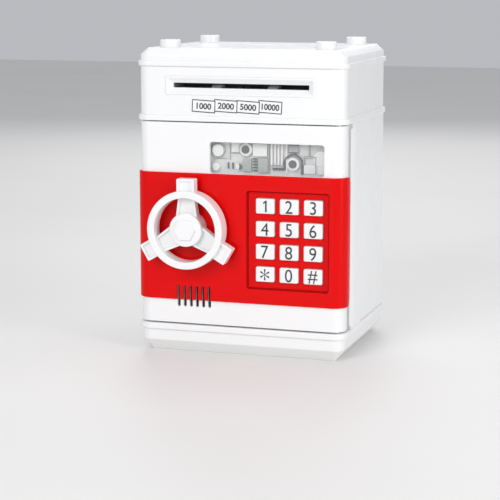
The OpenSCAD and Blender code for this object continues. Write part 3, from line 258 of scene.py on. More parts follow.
# Noise on object coordinates; scale is in waves to the metre
def noise(nodes, links, scale, detail=3.0, roughness=0.55):
    place = nodes.new("ShaderNodeTexCoord")
    grain = nodes.new("ShaderNodeTexNoise")
    grain.inputs["Scale"].default_value = scale
    grain.inputs["Detail"].default_value = detail
    grain.inputs["Roughness"].default_value = roughness
    links.new(place.outputs["Object"], grain.inputs["Vector"])
    return grain.outputs["Fac"]


# A blend between two colours
def ramp(nodes, links, value, low, high, start=0.35, end=0.65):
    blend = nodes.new("ShaderNodeValToRGB")
    blend.color_ramp.elements[0].position, blend.color_ramp.elements[0].color = start, (*low, 1)
    blend.color_ramp.elements[1].position, blend.color_ramp.elements[1].color = end, (*high, 1)
    links.new(value, blend.inputs["Fac"])
    return blend.outputs["Color"]


# The middle of a noise's range spread from low to high
def spread(nodes, links, value, low, high):
    remap = nodes.new("ShaderNodeMapRange")
    remap.inputs["From Min"].default_value, remap.inputs["From Max"].default_value = 0.3, 0.7
    remap.inputs["To Min"].default_value, remap.inputs["To Max"].default_value = low, high
    links.new(value, remap.inputs["Value"])
    return remap.outputs["Result"]


# Surface relief, its depth in millimetres
def bump(nodes, links, value, depth, strength=1.0):
    relief = nodes.new("ShaderNodeBump")
    relief.inputs["Distance"].default_value, relief.inputs["Strength"].default_value = depth * mm, strength
    links.new(value, relief.inputs["Height"])
    return relief.outputs["Normal"]


# Moulded plastic: two close shades in broad clouds, a fine skin texture and uneven gloss
def plastic(name, shades, gloss, skin=(900, 0.02), shine=0.5, coat=0.0):
    material, nodes, links, shader = startFinish(name)
    links.new(ramp(nodes, links, noise(nodes, links, 14, 1), *shades, 0.2, 0.8), shader.inputs["Base Color"])
    links.new(spread(nodes, links, noise(nodes, links, 90, 3), *gloss), shader.inputs["Roughness"])
    links.new(bump(nodes, links, noise(nodes, links, skin[0], 1), skin[1]), shader.inputs["Normal"])
    shader.inputs["Specular IOR Level"].default_value = shine
    shader.inputs["Coat Weight"].default_value = coat
    shader.inputs["Coat Roughness"].default_value = 0.08
    return material


# Metal with fine lengthways scratches and a little tarnish
def metal(name, shades, gloss, stretch=(1, 1, 12)):
    material, nodes, links, shader = startFinish(name)
    place = nodes.new("ShaderNodeTexCoord")
    along = nodes.new("ShaderNodeMapping")
    along.inputs["Scale"].default_value = stretch
    grain = nodes.new("ShaderNodeTexNoise")
    grain.inputs["Scale"].default_value, grain.inputs["Detail"].default_value = 420, 5
    links.new(place.outputs["Object"], along.inputs["Vector"])
    links.new(along.outputs["Vector"], grain.inputs["Vector"])
    links.new(ramp(nodes, links, noise(nodes, links, 90), *shades), shader.inputs["Base Color"])
    links.new(spread(nodes, links, grain.outputs["Fac"], *gloss), shader.inputs["Roughness"])
    links.new(bump(nodes, links, grain.outputs["Fac"], 0.01), shader.inputs["Normal"])
    shader.inputs["Metallic"].default_value = 1.0
    return material


# Thin clear styrene with a faint haze: light passes straight through all but a small share of it
def clearPlastic(name):
    material, nodes, links, shader = startFinish(name)
    haze = noise(nodes, links, 60)
    links.new(ramp(nodes, links, haze, (0.93, 0.95, 0.95), (1, 1, 1)), shader.inputs["Base Color"])
    links.new(spread(nodes, links, noise(nodes, links, 200, 4), 0.02, 0.07), shader.inputs["Roughness"])
    links.new(spread(nodes, links, noise(nodes, links, 45, 2), 0.04, 0.08), shader.inputs["Alpha"])
    shader.inputs["Coat Weight"].default_value = 1.0
    return material


# Green circuit board with fine copper tracks under the lacquer
def circuitBoard(name):
    material, nodes, links, shader = startFinish(name)
    place = nodes.new("ShaderNodeTexCoord")
    tracks = nodes.new("ShaderNodeTexBrick")
    tracks.inputs["Scale"].default_value = 130
    tracks.inputs["Mortar Size"].default_value = 0.06
    tracks.inputs["Color1"].default_value = (0.015, 0.12, 0.045, 1)
    tracks.inputs["Color2"].default_value = (0.02, 0.15, 0.06, 1)
    tracks.inputs["Mortar"].default_value = (0.12, 0.3, 0.1, 1)
    turn = nodes.new("ShaderNodeMapping")
    turn.inputs["Rotation"].default_value = (radians(90), 0, 0)
    links.new(place.outputs["Object"], turn.inputs["Vector"])
    links.new(turn.outputs["Vector"], tracks.inputs["Vector"])
    links.new(tracks.outputs["Color"], shader.inputs["Base Color"])
    links.new(spread(nodes, links, noise(nodes, links, 300), 0.25, 0.4), shader.inputs["Roughness"])
    links.new(bump(nodes, links, tracks.outputs["Fac"], 0.03), shader.inputs["Normal"])
    return material


# One finish for each material slot of the record: shades, gloss, then the skin's scale and depth
finishes = {
    "white_gloss": plastic("whiteGloss", ((0.86, 0.862, 0.864), (0.88, 0.88, 0.88)), (0.2, 0.26), (900, 0.003),
                           coat=0.2),
    "inner_white": plastic("innerWhite", ((0.72, 0.72, 0.71), (0.76, 0.76, 0.755)), (0.38, 0.5), (1400, 0.01)),
    "red_gloss": plastic("redGloss", ((0.7, 0.002, 0.0025), (0.74, 0.003, 0.0035)), (0.14, 0.19), (900, 0.003),
                         0.1, 0.02),
    "grey_plastic": plastic("greyPlastic", ((0.3, 0.31, 0.33), (0.37, 0.38, 0.4)), (0.35, 0.5), (1100, 0.012)),
    "relief_grey": plastic("reliefGrey", ((0.66, 0.67, 0.67), (0.7, 0.71, 0.71)), (0.35, 0.5), (1100, 0.012)),
    "dark_plastic": plastic("darkPlastic", ((0.018, 0.019, 0.022), (0.035, 0.036, 0.04)), (0.4, 0.6),
                            (1200, 0.012)),
    "clear_window": clearPlastic("clearWindow"),
    "steel": metal("steel", ((0.55, 0.55, 0.56), (0.68, 0.68, 0.69)), (0.22, 0.4)),
    "gear_plastic": plastic("gearPlastic", ((0.72, 0.68, 0.56), (0.78, 0.74, 0.62)), (0.35, 0.5), (900, 0.012)),
    "roller_rubber": plastic("rollerRubber", ((0.74, 0.74, 0.73), (0.82, 0.82, 0.8)), (0.6, 0.8), (2200, 0.02)),
    "mat_rubber": plastic("matRubber", ((0.14, 0.15, 0.16), (0.2, 0.2, 0.21)), (0.6, 0.8), (2000, 0.02)),
    "circuit_board": circuitBoard("circuitBoard"),
    "cell_can": metal("cellCan", ((0.03, 0.03, 0.035), (0.07, 0.07, 0.08)), (0.3, 0.5)),
    "coil_copper": metal("coilCopper", ((0.5, 0.22, 0.09), (0.66, 0.32, 0.14)), (0.25, 0.45), (1, 1, 60)),
    "lead_jacket": plastic("leadJacket", ((0.3, 0.01, 0.01), (0.4, 0.02, 0.02)), (0.4, 0.55), (1500, 0.015)),
}
# Finishes of pieces that no CAD node has
keyWhite = plastic("keyWhite", ((0.84, 0.84, 0.84), (0.88, 0.88, 0.88)), (0.24, 0.34), (1200, 0.004))
legendInk = plastic("legendInk", ((0.02, 0.024, 0.034), (0.04, 0.045, 0.06)), (0.45, 0.6), (2500, 0.005))
tagInk = plastic("tagInk", ((0.03, 0.034, 0.042), (0.05, 0.055, 0.065)), (0.45, 0.6), (2500, 0.005))
# A darker red for the keypad tray's wall: painted shade for the recess, not a colour of the plastic
trayWallPaintedShade = plastic("trayWallPaintedShade", ((0.34, 0.003, 0.003), (0.4, 0.004, 0.004)), (0.3, 0.4), (1200, 0.004), 0.15)
reliefDeep = plastic("reliefDeep", ((0.07, 0.072, 0.075), (0.1, 0.102, 0.105)), (0.4, 0.5), (1200, 0.012))
reliefPale = plastic("reliefPale", ((0.79, 0.79, 0.79), (0.83, 0.83, 0.83)), (0.3, 0.45), (1100, 0.01))
reliefMid = plastic("reliefMid", ((0.36, 0.38, 0.37), (0.42, 0.44, 0.43)), (0.4, 0.5), (1100, 0.012))
for entry in frame["record"]["subparts"]:
    node = frame["nodes"][entry["node"]]
    node.data.materials.clear()
    node.data.materials.append(finishes[entry["material_slot"]])
print("finishes done")


# Sizes that the casings share
case = {"width": 128.0, "depth": 104.0, "cornerRadius": 7.0, "wall": 2.2, "lip": 1.4, "soft": 0.45}


# The corners of a CAD node's box, in millimetres
def lowest(node):
    return [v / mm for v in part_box(node)[0]]


def highest(node):
    return [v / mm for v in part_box(node)[1]]


# The middle of a node's box, seen from the front: across and up
def frontMiddle(node):
    low, high = lowest(node), highest(node)
    return (low[0] + high[0]) / 2, (low[2] + high[2]) / 2


baseTop = highest("base_plinth")[2]
headFoot, headTop = lowest("head_housing")[2], highest("head_housing")[2]
doorLow, doorHigh = lowest("door_shell"), highest("door_shell")
frontFace = doorLow[1]
doorRim = highest("red_panel")[1]


# A casing: the body's rounded rectangle, drawn in by the line's inset at each of its heights
def casing(corners, radii, steps=5, holes=()):
    line = softLine(corners, radii, steps)
    rings = rectRings(case["width"], case["depth"], case["cornerRadius"], line, steps=10, least=0.5)
    return solid(rings, line[:, 1], holes)


base = {"footHeight": 7.0, "footInset": 6.0, "footWidth": 1.8, "lipHeight": 3.7, "deck": 1.4}


# The base: from the deck's underside down the inner wall, round the foot, and up the outside to the lip
def makeBase():
    wall, lip, soft = case["wall"], case["lip"], case["soft"]
    deck = baseTop - base["deck"]
    lipFoot = baseTop - base["lipHeight"]
    footInset, footHeight = base["footInset"], base["footHeight"]
    line = [(wall + 1, deck), (wall, deck), (wall, footHeight), (footInset + base["footWidth"], 0),
            (footInset, 0), (0, footHeight), (0, lipFoot), (-lip, lipFoot), (-lip, baseTop), (1, baseTop)]
    radii = [0.3, 1, 0.3, 0.5, 1.6, 0.25, soft, soft * 1.3]
    addPiece("baseShell", [casing(line, radii)], inPlan, "root", finishes["white_gloss"],
             ["base_plinth"])


head = {"lipHeight": 3.3, "outlet": ((-44.0, -29.8), (44.0, -19.8)), "outletRadius": 0.8, "bezelGap": 0.05,
        "bezelRadius": 1.0}


# The head: up the outside from its lip, over the top and down the inner wall. The notes and the coin chute go
# through two holes in its floor, and the front has an opening for the slot's bezel.
def makeHead():
    wall, lip, soft = case["wall"], case["lip"], case["soft"]
    lipTop = headFoot + head["lipHeight"]
    line = [(1, headFoot), (-lip, headFoot), (-lip, lipTop), (0, lipTop), (0, headTop), (wall, headTop),
            (wall, headFoot + wall), (wall + 1.5, headFoot + wall)]
    holes = []
    for low, high in (head["outlet"], (lowest("coin_chute"), highest("coin_chute"))):
        flat = np.array([(0, headFoot), (0, headFoot + wall)], float)
        middle = ((low[0] + high[0]) / 2, (low[1] + high[1]) / 2)
        rings = rectRings(high[0] - low[0], high[1] - low[1], head["outletRadius"], flat, middle, 4)
        holes.append((rings, flat[:, 1]))
    low, high, gap = lowest("slot_bezel"), highest("slot_bezel"), head["bezelGap"]
    opening = softPlate(low[0] - gap, high[0] + gap, low[2] - gap, high[2] + gap, -frontFace - 4,
                        -frontFace + 4, head["bezelRadius"], 0.02)
    addPiece("headShell", [casing(line, [soft, soft, 0.25, 0.3, 0.3, 0.3], holes=holes)], inPlan, "root",
             finishes["white_gloss"], ["head_housing"], [(opening, inFront)])


bezel = {"recessDepth": 2.2, "slotWidth": 84.0, "slotHeight": 2.9, "slotRadius": 0.4, "side": 3.0,
         "height": 8.8}


# The bezel: its opening narrows from the recess at the front to the slot, then runs straight back
def makeBezel():
    low, high = lowest("slot_bezel"), highest("slot_bezel")
    centre = frontMiddle("slot_bezel")
    back, face = -high[1], -low[1]
    line = softLine([(1, back), (0, back), (0, face), (1, face)], 0.15, 4)
    outer = rectRings(high[0] - low[0], high[2] - low[2], head["bezelRadius"], line, centre, 8)
    wide, tall, throat = bezel["slotWidth"], bezel["slotHeight"], face - bezel["recessDepth"]
    mouthWide, mouthTall = wide + 2 * bezel["side"], bezel["height"]
    opening = [(wide, tall, back), (wide, tall, throat - 0.1), (wide + 0.5, tall + 0.5, throat + 0.1),
               (mouthWide - 0.3, mouthTall - 0.3, face - 0.12), (mouthWide, mouthTall, face)]
    rows = [rectRings(w, h, bezel["slotRadius"], np.array([(0.0, d)]), centre, 8)[0] for w, h, d in opening]
    hole = (np.array(rows), [d for _, _, d in opening])
    addPiece("slotFrame", [solid(outer, line[:, 1], [hole])], inFront, "root", finishes["white_gloss"],
             ["slot_bezel"])


lid = {"lipHeight": 2.9, "bandTop": 6.5, "bevelHeight": 4.0, "bevelInset": 4.5, "postRadius": 6.25,
       "postAt": (48.5, 36.5), "postFillet": 1.2, "slot": (30.0, 3.4), "slotY": 12.0, "spigotGap": 0.2,
       "spigotWall": 1.4, "spigotDepth": 3.0}


# The lid: up the inner wall's far side to the lip, up the outside, and over the bevel to the flat top
def makeLid():
    wall, lip, soft = case["wall"], case["lip"], case["soft"]
    foot, band, top = headTop, headTop + lid["bandTop"], headTop + lid["bandTop"] + lid["bevelHeight"]
    inset, lipTop, fillet = wall + lid["bevelInset"], foot + lid["lipHeight"], lid["postFillet"]
    line = [(inset + 2, top - wall), (inset, top - wall), (inset, band - 1), (wall, band - 1), (wall, foot),
            (-lip, foot), (-lip, lipTop), (0, lipTop), (0, band),
            (lid["bevelInset"], top), (lid["bevelInset"] + 6, top)]
    radii = [0.6, 0.4, 0.6, 0.3, soft, soft, 0.25, 1.2, 1.4]
    slotLine = softLine([(0, top - wall), (0, top), (-0.8, top)], 0.6, 4)
    slotRings = rectRings(*lid["slot"], 0.8, slotLine, (0, lid["slotY"]), 6)
    parts = [casing(line, radii, holes=[(slotRings, slotLine[:, 1])])]
    postTop = highest("top_lid")[2]
    # each post springs from the lid with a small fillet, and its rim is rounded over
    profile = softLine([(fillet, top - 1), (fillet, top), (0, top), (0, postTop), (4, postTop)],
                       [0.5, 0.1, 0.8], 6)
    profile[:, 0] = np.where(profile[:, 1] < top + 0.01, np.minimum(profile[:, 0], 0), profile[:, 0])
    for sideX in (-1, 1):
        for sideY in (-1, 1):
            at = (sideX * lid["postAt"][0], sideY * lid["postAt"][1])
            parts.append(solid(circleRings(lid["postRadius"] - profile[:, 0], 64, at), profile[:, 1]))
    # the spigot inside the head's walls
    outside = wall + lid["spigotGap"]
    inside, spigotFoot = outside + lid["spigotWall"], foot - lid["spigotDepth"]
    ring = softLine([(inside, foot + 1), (inside, spigotFoot), (outside, spigotFoot), (outside, foot + 1)],
                    0.3, 3)
    rings = rectRings(case["width"], case["depth"], case["cornerRadius"], ring, steps=10)
    parts.append(solid(rings, ring[:, 1], closed=True))
    addPiece("lidShell", parts, inPlan, "root", finishes["white_gloss"], ["top_lid"])


vault = {"postDepth": 22.0, "panelStep": 1.0, "jambWidth": 6.9, "jambDepth": 10.0, "rearRadius": 7.4,
         "scoopIn": 1.2, "scoopLength": 8.0, "scoopEnds": (1.9, 2.7), "scoopFade": 1.6,
         "strike": (-62.9, -56.0), "strikeGap": 0.5}


# The walls' plan, open at the front: outside from one jamb round the back to the other, then back along the
# inside. Share says how much of the scoop beside the door is there: at a place t along it, from the front, its
# depth is scoopIn times share times (1 - t) squared.
def vaultPlan(share):
    wall, outer = case["wall"], case["width"] / 2 + case["lip"]
    panel, inner = outer - vault["panelStep"], case["width"] / 2 - wall
    jambX, jambY = outer - vault["jambWidth"], lowest("body_shell")[1]
    jambBack = jambY + vault["jambDepth"]
    scoop = vault["scoopIn"] * share
    backOut = case["depth"] / 2 + case["lip"] - vault["panelStep"]
    backIn = case["depth"] / 2 - wall
    postEnd = jambY + vault["postDepth"]
    steps = np.linspace(0.12, 1, 8)
    run = [(outer - scoop * (1 - t) ** 2, jambY + vault["scoopLength"] * t) for t in steps]
    corners = [(jambX, jambY), (outer - scoop, jambY)] + run
    corners += [(outer, postEnd), (panel, postEnd + 0.8), (panel, backOut), (-panel, backOut),
                (-panel, postEnd + 0.8), (-outer, postEnd)]
    corners += [(-x, y) for x, y in run[::-1]] + [(-outer + scoop, jambY), (-jambX, jambY)]
    corners += [(-jambX, jambBack), (-inner, jambBack), (-inner, backIn), (inner, backIn), (inner, jambBack),
                (jambX, jambBack)]
    rear = vault["rearRadius"]
    runRadii = [0.4] * len(run)
    radii = [0.6, 0.5] + runRadii + [0.3, 0.3, rear, rear, 0.3, 0.3] + runRadii
    radii += [0.5, 0.6, 0.5, 0.5, rear - 2.6, rear - 2.6, 0.5, 0.5]
    return roundedOutline(corners, radii, 5)


# The walls stand straight on the plan; the scoop fades in over a quarter circle at each end of its height
def makeVault():
    foot, top = lowest("body_shell")[2], highest("body_shell")[2]
    fade = vault["scoopFade"]
    low, high = foot + vault["scoopEnds"][0], top - vault["scoopEnds"][1]
    plain, scooped = vaultPlan(0.002), vaultPlan(1.0)
    t = np.linspace(0, 1, 6)
    heights = np.concatenate([[foot, foot + 0.3], low + fade * t, high - fade * t[::-1], [top - 0.3, top]])
    inset = np.concatenate([[0.3], np.zeros(len(heights) - 2), [0.3]])
    share = np.concatenate([[0, 0], np.sqrt(1 - (1 - t) ** 2), np.sqrt(1 - (1 - t[::-1]) ** 2), [0, 0]])
    rings = (1 - share)[:, None, None] * plain[0] + share[:, None, None] * scooped[0]
    rings = rings - inset[:, None, None] * plain[1]
    # the strike for the latch bolt, through the left jamb
    boltLow, boltHigh, gap = lowest("latch_bolt"), highest("latch_bolt"), vault["strikeGap"]
    strike = softPlate(*vault["strike"], boltLow[2] - gap, boltHigh[2] + gap, -boltHigh[1] - gap,
                       -boltLow[1] + gap, 0.1, 0.02)
    addPiece("vaultWalls", [solid(rings, heights)], inPlan, "root", finishes["white_gloss"],
             ["body_shell"], [(strike, inFront)])


# Cut is how far in front of the middle the cutters for the door's front begin and end
door = {"skin": 2.0, "soft": 0.5, "window": (-18.6, 52.0, 110.5, 129.2), "windowRadius": 2.0, "ventX": -28.7,
        "ventWidth": 1.9, "ventPitch": 3.9, "ventCount": 6, "ventHeight": 13.4, "ventUp": 10.3, "boreGap": 0.15,
        "endInset": 1.5, "cut": (46.0, 56.0)}
panel = {"thick": 1.5, "soft": 0.6, "endRadius": 4.5}
pad = {"x": (4.8, 55.5), "z": (42.0, 101.0), "radius": 1.5, "rim": 1.0, "floor": 51.2, "floorThick": 1.2,
       "slope": 0.95, "holeGap": 0.25, "holeRadius": 1.1}
keyNames = [f"key_{sign}" for sign in "123456789"] + ["key_star", "key_0", "key_hash"]


# A U in plan, open to the back: its front corners are rounded and its walls have one thickness
def wrapOutline(half, front, back, radius, thick, end=0.6):
    corners = [(-half, back), (-half, front), (half, front), (half, back), (half - thick, back),
               (half - thick, front + thick), (-half + thick, front + thick), (-half + thick, back)]
    inner = max(radius - thick, 0.5)
    return roundedOutline(corners, [end, radius, radius, end, end, inner, inner, end], 9)


# The row of vents, each a narrow slot with round ends
def ventCutters():
    low, half = doorLow[2] + door["ventUp"], door["ventWidth"] / 2
    xs = door["ventX"] + (np.arange(door["ventCount"]) - (door["ventCount"] - 1) / 2) * door["ventPitch"]
    high, radius = low + door["ventHeight"], half - 0.05
    return [(softPlate(x - half, x + half, low, high, *door["cut"], radius, 0.02), inFront) for x in xs]


def padCutter(gap):
    (x0, x1), (z0, z1) = pad["x"], pad["z"]
    return softPlate(x0 - gap, x1 + gap, z0 - gap, z1 + gap, *door["cut"], pad["radius"], 0.02), inFront


# A round cutter a little wider than a shaft or pin, along Y for the front's spindle and along Z for the hinge
def spindleCutter():
    radius = (highest("spindle")[0] - lowest("spindle")[0]) / 2 + door["boreGap"]
    return solid(circleRings([radius, radius], 48, frontMiddle("spindle")), door["cut"]), inFront


def hingeCutter():
    low, high = lowest("hinge_pins"), highest("hinge_pins")
    radius = (high[0] - low[0]) / 2 + door["boreGap"]
    at = ((low[0] + high[0]) / 2, (low[1] + high[1]) / 2)
    return solid(circleRings([radius, radius], 48, at), [low[2] - 1, high[2] + 1]), inPlan


# The door: its skin wraps the front and both sides, and a flat end closes it at the foot and at the top
def makeDoor():
    low, high = doorLow[2], doorHigh[2]
    half = case["width"] / 2
    line = softLine([(1, low), (0, low), (0, high), (1, high)], door["soft"], 5)
    outline = wrapOutline(half, frontFace, doorRim, case["cornerRadius"], door["skin"], 0.9)
    shell = solid(insetRings(outline, np.minimum(line, [0.6, 1e9])), line[:, 1])
    window = softPlate(*door["window"], *door["cut"], door["windowRadius"], 0.02)
    cutters = [(window, inFront), padCutter(1.1), spindleCutter()] + ventCutters()
    addPiece("doorShell", [shell], inPlan, "door", finishes["white_gloss"], ["door_shell"],
             cutters, 0.3)
    side, face = half - door["endInset"], frontFace + door["endInset"]
    flat = roundedOutline([(-side, face), (side, face), (side, doorRim), (-side, doorRim)],
                          [5.5, 5.5, 0.5, 0.5])
    spans = ((low + 0.25, low + door["skin"]), (high - door["skin"], high - 0.25))
    ends = [softBlock(flat, foot, top, 0.2) for foot, top in spans]
    addPiece("doorEnds", ends, inPlan, "door", finishes["white_gloss"], cutters=[hingeCutter()])


# The red band wraps the door. Its rows stand close together at both ends, where the outer face rounds over
# and the side ends draw back by r - sqrt(r squared - reach squared), an arc of radius r.
def makePanel():
    low, high = lowest("red_panel")[2], highest("red_panel")[2]
    half = case["width"] / 2 + case["lip"]
    face = frontFace - case["lip"]
    soft, r = panel["soft"], panel["endRadius"]
    outline = wrapOutline(half, face, doorRim, case["cornerRadius"] + case["lip"], panel["thick"], 0.65)
    t = np.linspace(0, 1, 9)[1:]
    line = softLine([(1, low), (0, low), (0, low + soft * 2.1)], soft, 5)
    rise = np.concatenate([line[:-1, 1], low + soft + (r - soft) * t])
    rise = np.concatenate([rise, (low + high) - rise[::-1]])
    inset = np.concatenate([np.minimum(line[:-1, 0], 0.6), np.zeros(len(t))])
    inset = np.concatenate([inset, inset[::-1]])
    rings = outline[0][None] - inset[:, None, None] * outline[1][None]
    reach = np.clip(r - np.minimum(rise - low, high - rise), 0, r)
    retreat = r - np.sqrt(r * r - reach ** 2)
    nearEnd = np.clip((outline[0][:, 1] - (doorRim - 1.5)) / 1.5, 0, 1) > 0.2
    rings[:, :, 1] -= retreat[:, None] * nearEnd[None, :]
    addPiece("redBand", [solid(rings, rise)], inPlan, "door", finishes["red_gloss"], ["red_panel"],
             [padCutter(0.06), spindleCutter()] + ventCutters(), 0.35)


# The tray's wall slopes inwards from the panel's face to the floor, which has a hole for each key. The wall is
# painted a darker red than the floor: painted shade inside the recess.
def makeTray():
    (x0, x1), (z0, z1) = pad["x"], pad["z"]
    centre, size, radius = ((x0 + x1) / 2, (z0 + z1) / 2), (x1 - x0, z1 - z0), pad["radius"]
    rim, slope, floor, back = pad["rim"], pad["slope"], pad["floor"], pad["floor"] - pad["floorThick"]
    top = -frontFace + case["lip"] - 0.4
    wall = np.array([(-rim, back), (-rim, top), (0, top), (slope, floor - 0.05), (slope + 0.2, back)])
    rings = rectRings(*size, radius, wall, centre, 8, 0.4)
    # the wall takes the darker red, painted shade for the recess
    addPiece("keypadWall", [solid(rings, wall[:, 1], closed=True)], inFront, "door", trayWallPaintedShade)
    line = np.array([(slope - 0.2, back + 0.02), (slope - 0.2, floor)])
    shape = softLine([(0, back + 0.02), (0, floor), (-0.4, floor)], 0.25, 3)
    wide, tall = keys["width"] + 2 * pad["holeGap"], keys["height"] + 2 * pad["holeGap"]
    holes = [(rectRings(wide, tall, pad["holeRadius"], shape, frontMiddle(name), 5), shape[:, 1])
             for name in keyNames]
    addPiece("keypadTray", [solid(rectRings(*size, radius, line, centre, 8, 0.4), line[:, 1], holes)], inFront,
             "door", finishes["red_gloss"])


# One is the outline of the digit 1, from the key's middle
keys = {"width": 11.4, "height": 9.1, "radius": 0.9, "crown": 0.12, "flange": 0.9, "flangeRise": (0.5, 1.5),
        "legends": "123456789*0#", "legendSize": 11.0, "starSize": 15.4, "legendWidth": 0.92,
        "one": [(0.15, -3.4), (1.15, -3.4), (1.15, 3.4), (0.45, 3.4), (-1.0, 2.3), (-1.0, 1.3), (0.15, 2.15)]}


# Lettering as a thin raised mesh that faces the front: its points are centred on the middle of their box,
# squeezed in width, and turned by the tilt, x cos - y sin and x sin + y cos
def legend(name, text, size, centre, height, thin, tilt=0.0, squeeze=1.0, lift=0.05):
    curve = bpy.data.curves.new(name, "FONT")
    curve.body, curve.size = text, size
    curve.align_x, curve.align_y = "LEFT", "BOTTOM_BASELINE"
    curve.extrude, curve.offset, curve.resolution_u = lift / 2, -thin, 6
    holder = bpy.data.objects.new(name + "Curve", curve)
    bpy.context.scene.collection.objects.link(holder)
    bpy.context.view_layer.update()
    mesh = bpy.data.meshes.new_from_object(holder.evaluated_get(bpy.context.evaluated_depsgraph_get()))
    bpy.data.objects.remove(holder)
    points = np.zeros(len(mesh.vertices) * 3)
    mesh.vertices.foreach_get("co", points)
    points = points.reshape(-1, 3)
    points[:, :2] -= (points[:, :2].min(0) + points[:, :2].max(0)) / 2
    points[:, 0] *= squeeze
    turn = radians(tilt)
    x = centre[0] + points[:, 0] * cos(turn) - points[:, 1] * sin(turn)
    z = centre[1] + points[:, 0] * sin(turn) + points[:, 1] * cos(turn)
    placed = inFront(np.stack([x, z, points[:, 2] + height], -1))
    mesh.vertices.foreach_set("co", placed.astype(np.float32).ravel())
    mesh.update()
    piece = bpy.data.objects.new(name, mesh)
    bpy.context.scene.collection.objects.link(piece)
    return piece


# A key cap: its flange, its straight sides, and a crown that rises a little to the middle
def makeKeys():
    for name, sign in zip(keyNames, keys["legends"]):
        at, crown, flange = frontMiddle(name), keys["crown"], keys["flange"]
        back, face = -highest(name)[1], -lowest(name)[1]
        flangeBack, flangeFace = back + keys["flangeRise"][0], back + keys["flangeRise"][1]
        line = softLine([(3, back), (2.6, flangeBack), (-flange, flangeBack), (-flange, flangeFace),
                         (0, flangeFace), (0, face - crown), (2, face - crown * 0.4)],
                        [0.1, 0.2, 0.2, 0.1, 0.7], 5)
        line = np.vstack([line, [(3, face - crown * 0.15), (4.2, face)]])
        rings = rectRings(keys["width"], keys["height"], keys["radius"], line, at, 6, 0.25)
        addPiece("cap_" + name, [solid(rings, line[:, 1])], inFront, name, keyWhite, [name])
        if sign == "1":
            one = roundedOutline(np.array(keys["one"]) + at, 0.06, 3)
            flat = np.array([(0.0, face - 0.1), (0.0, face + 0.07)])
            mark = meshObject("legend_" + name, [solid(insetRings(one, flat), flat[:, 1])], inFront)
        else:
            size = keys["starSize"] if sign == "*" else keys["legendSize"]
            mark = legend("legend_" + name, sign, size, at, face + 0.02, 0, squeeze=keys["legendWidth"])
        mark.data.materials.append(legendInk)
        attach(mark, name)


# Heights are above the door's face
wheel = {"outer": 23.5, "inner": 19.2, "depth": 10.5, "face": 14.5, "edge": 0.8, "hub": 10.05, "hubFoot": 1.7,
         "hubTop": 12.9, "hexAcross": 11.6, "spokeStart": 7.0, "spokeWide": 13.4, "spokeNarrow": 9.6,
         "spokeTop": 10.0, "spokeThick": 5.0, "spokeRim": 1.2, "spokeSunk": 1.3, "gripWidth": 11.0,
         "gripIn": 1.4, "gripReach": 30.5, "gripTop": 11.9, "gripThick": 6.4, "gripRim": 1.5, "gripSunk": 1.1,
         "turns": (90, 210, 330)}


# An arm with a raised border round a sunken middle. Each point of its outline is drawn in towards the middle by
# the same share of the way, inset / half width, so that no edges cross.
def borderedArm(corners, radius, low, top, rim, sunk):
    floor = top - sunk
    line = softLine([(1, low), (0, low), (0, top), (rim, top), (rim + 0.15, floor), (rim + 0.8, floor)],
                    [0.3, 0.22, 0.12, 0.15], 4)
    outline = roundedOutline(corners, radius, 5)
    middle = np.mean(corners, 0)
    half = np.min(np.abs(np.array(corners, float) - middle)[:, 1])
    share = line[:, 0][:, None, None] / half
    rings = outline[0][None] * (1 - share) + middle[None, None] * share
    return solid(rings, line[:, 1])


# The ring is its section carried round a circle; the hub and its nut are outlines carried up, each drawn in
# where its edge is rounded
def makeWheel():
    face, inner, outer, top = wheel["face"], wheel["inner"], wheel["outer"], wheel["hubTop"]
    back, mid = face - wheel["depth"], (outer + inner) / 2
    section, _ = roundedOutline([(inner, back), (outer, back), (outer, face), (inner, face)], wheel["edge"], 7)
    parts = [solid(circleRings(section[:, 0], 128), section[:, 1], closed=True)]
    hub = softLine([(2, wheel["hubFoot"]), (wheel["hub"], wheel["hubFoot"]), (wheel["hub"], top), (4, top)],
                   [0.3, 0.9], 7)
    parts.append(solid(circleRings(hub[:, 0], 96), hub[:, 1]))
    corner = wheel["hexAcross"] / sqrt(3)
    hexagon = roundedOutline([(corner * cos(k * pi / 3), corner * sin(k * pi / 3)) for k in range(6)], 0.35, 4)
    nut = softLine([(0, top - 1), (0, face), (2, face)], 0.28, 4)
    parts.append(solid(insetRings(hexagon, np.minimum(nut, [0.32, 1e9])), nut[:, 1]))
    wide, narrow, start = wheel["spokeWide"] / 2, wheel["spokeNarrow"] / 2, wheel["spokeStart"]
    spoke = borderedArm([(start, -wide), (mid, -narrow), (mid, narrow), (start, wide)], 0.3,
                        wheel["spokeTop"] - wheel["spokeThick"], wheel["spokeTop"], wheel["spokeRim"],
                        wheel["spokeSunk"])
    half, near, far = wheel["gripWidth"] / 2, mid - wheel["gripIn"], wheel["gripReach"]
    handle = borderedArm([(near, -half), (far, -half), (far, half), (near, half)], [0.3, 0.8, 0.8, 0.3],
                         wheel["gripTop"] - wheel["gripThick"], wheel["gripTop"], wheel["gripRim"],
                         wheel["gripSunk"])
    for turn in wheel["turns"]:
        parts += [turned(spoke, turn), turned(handle, turn)]
    shift = np.array([*frontMiddle("spindle"), -frontFace])
    parts = [(points + shift, quads, triangles) for points, quads, triangles in parts]
    addPiece("wheelBody", parts, inFront, "wheel", finishes["white_gloss"], ["hand_wheel"])


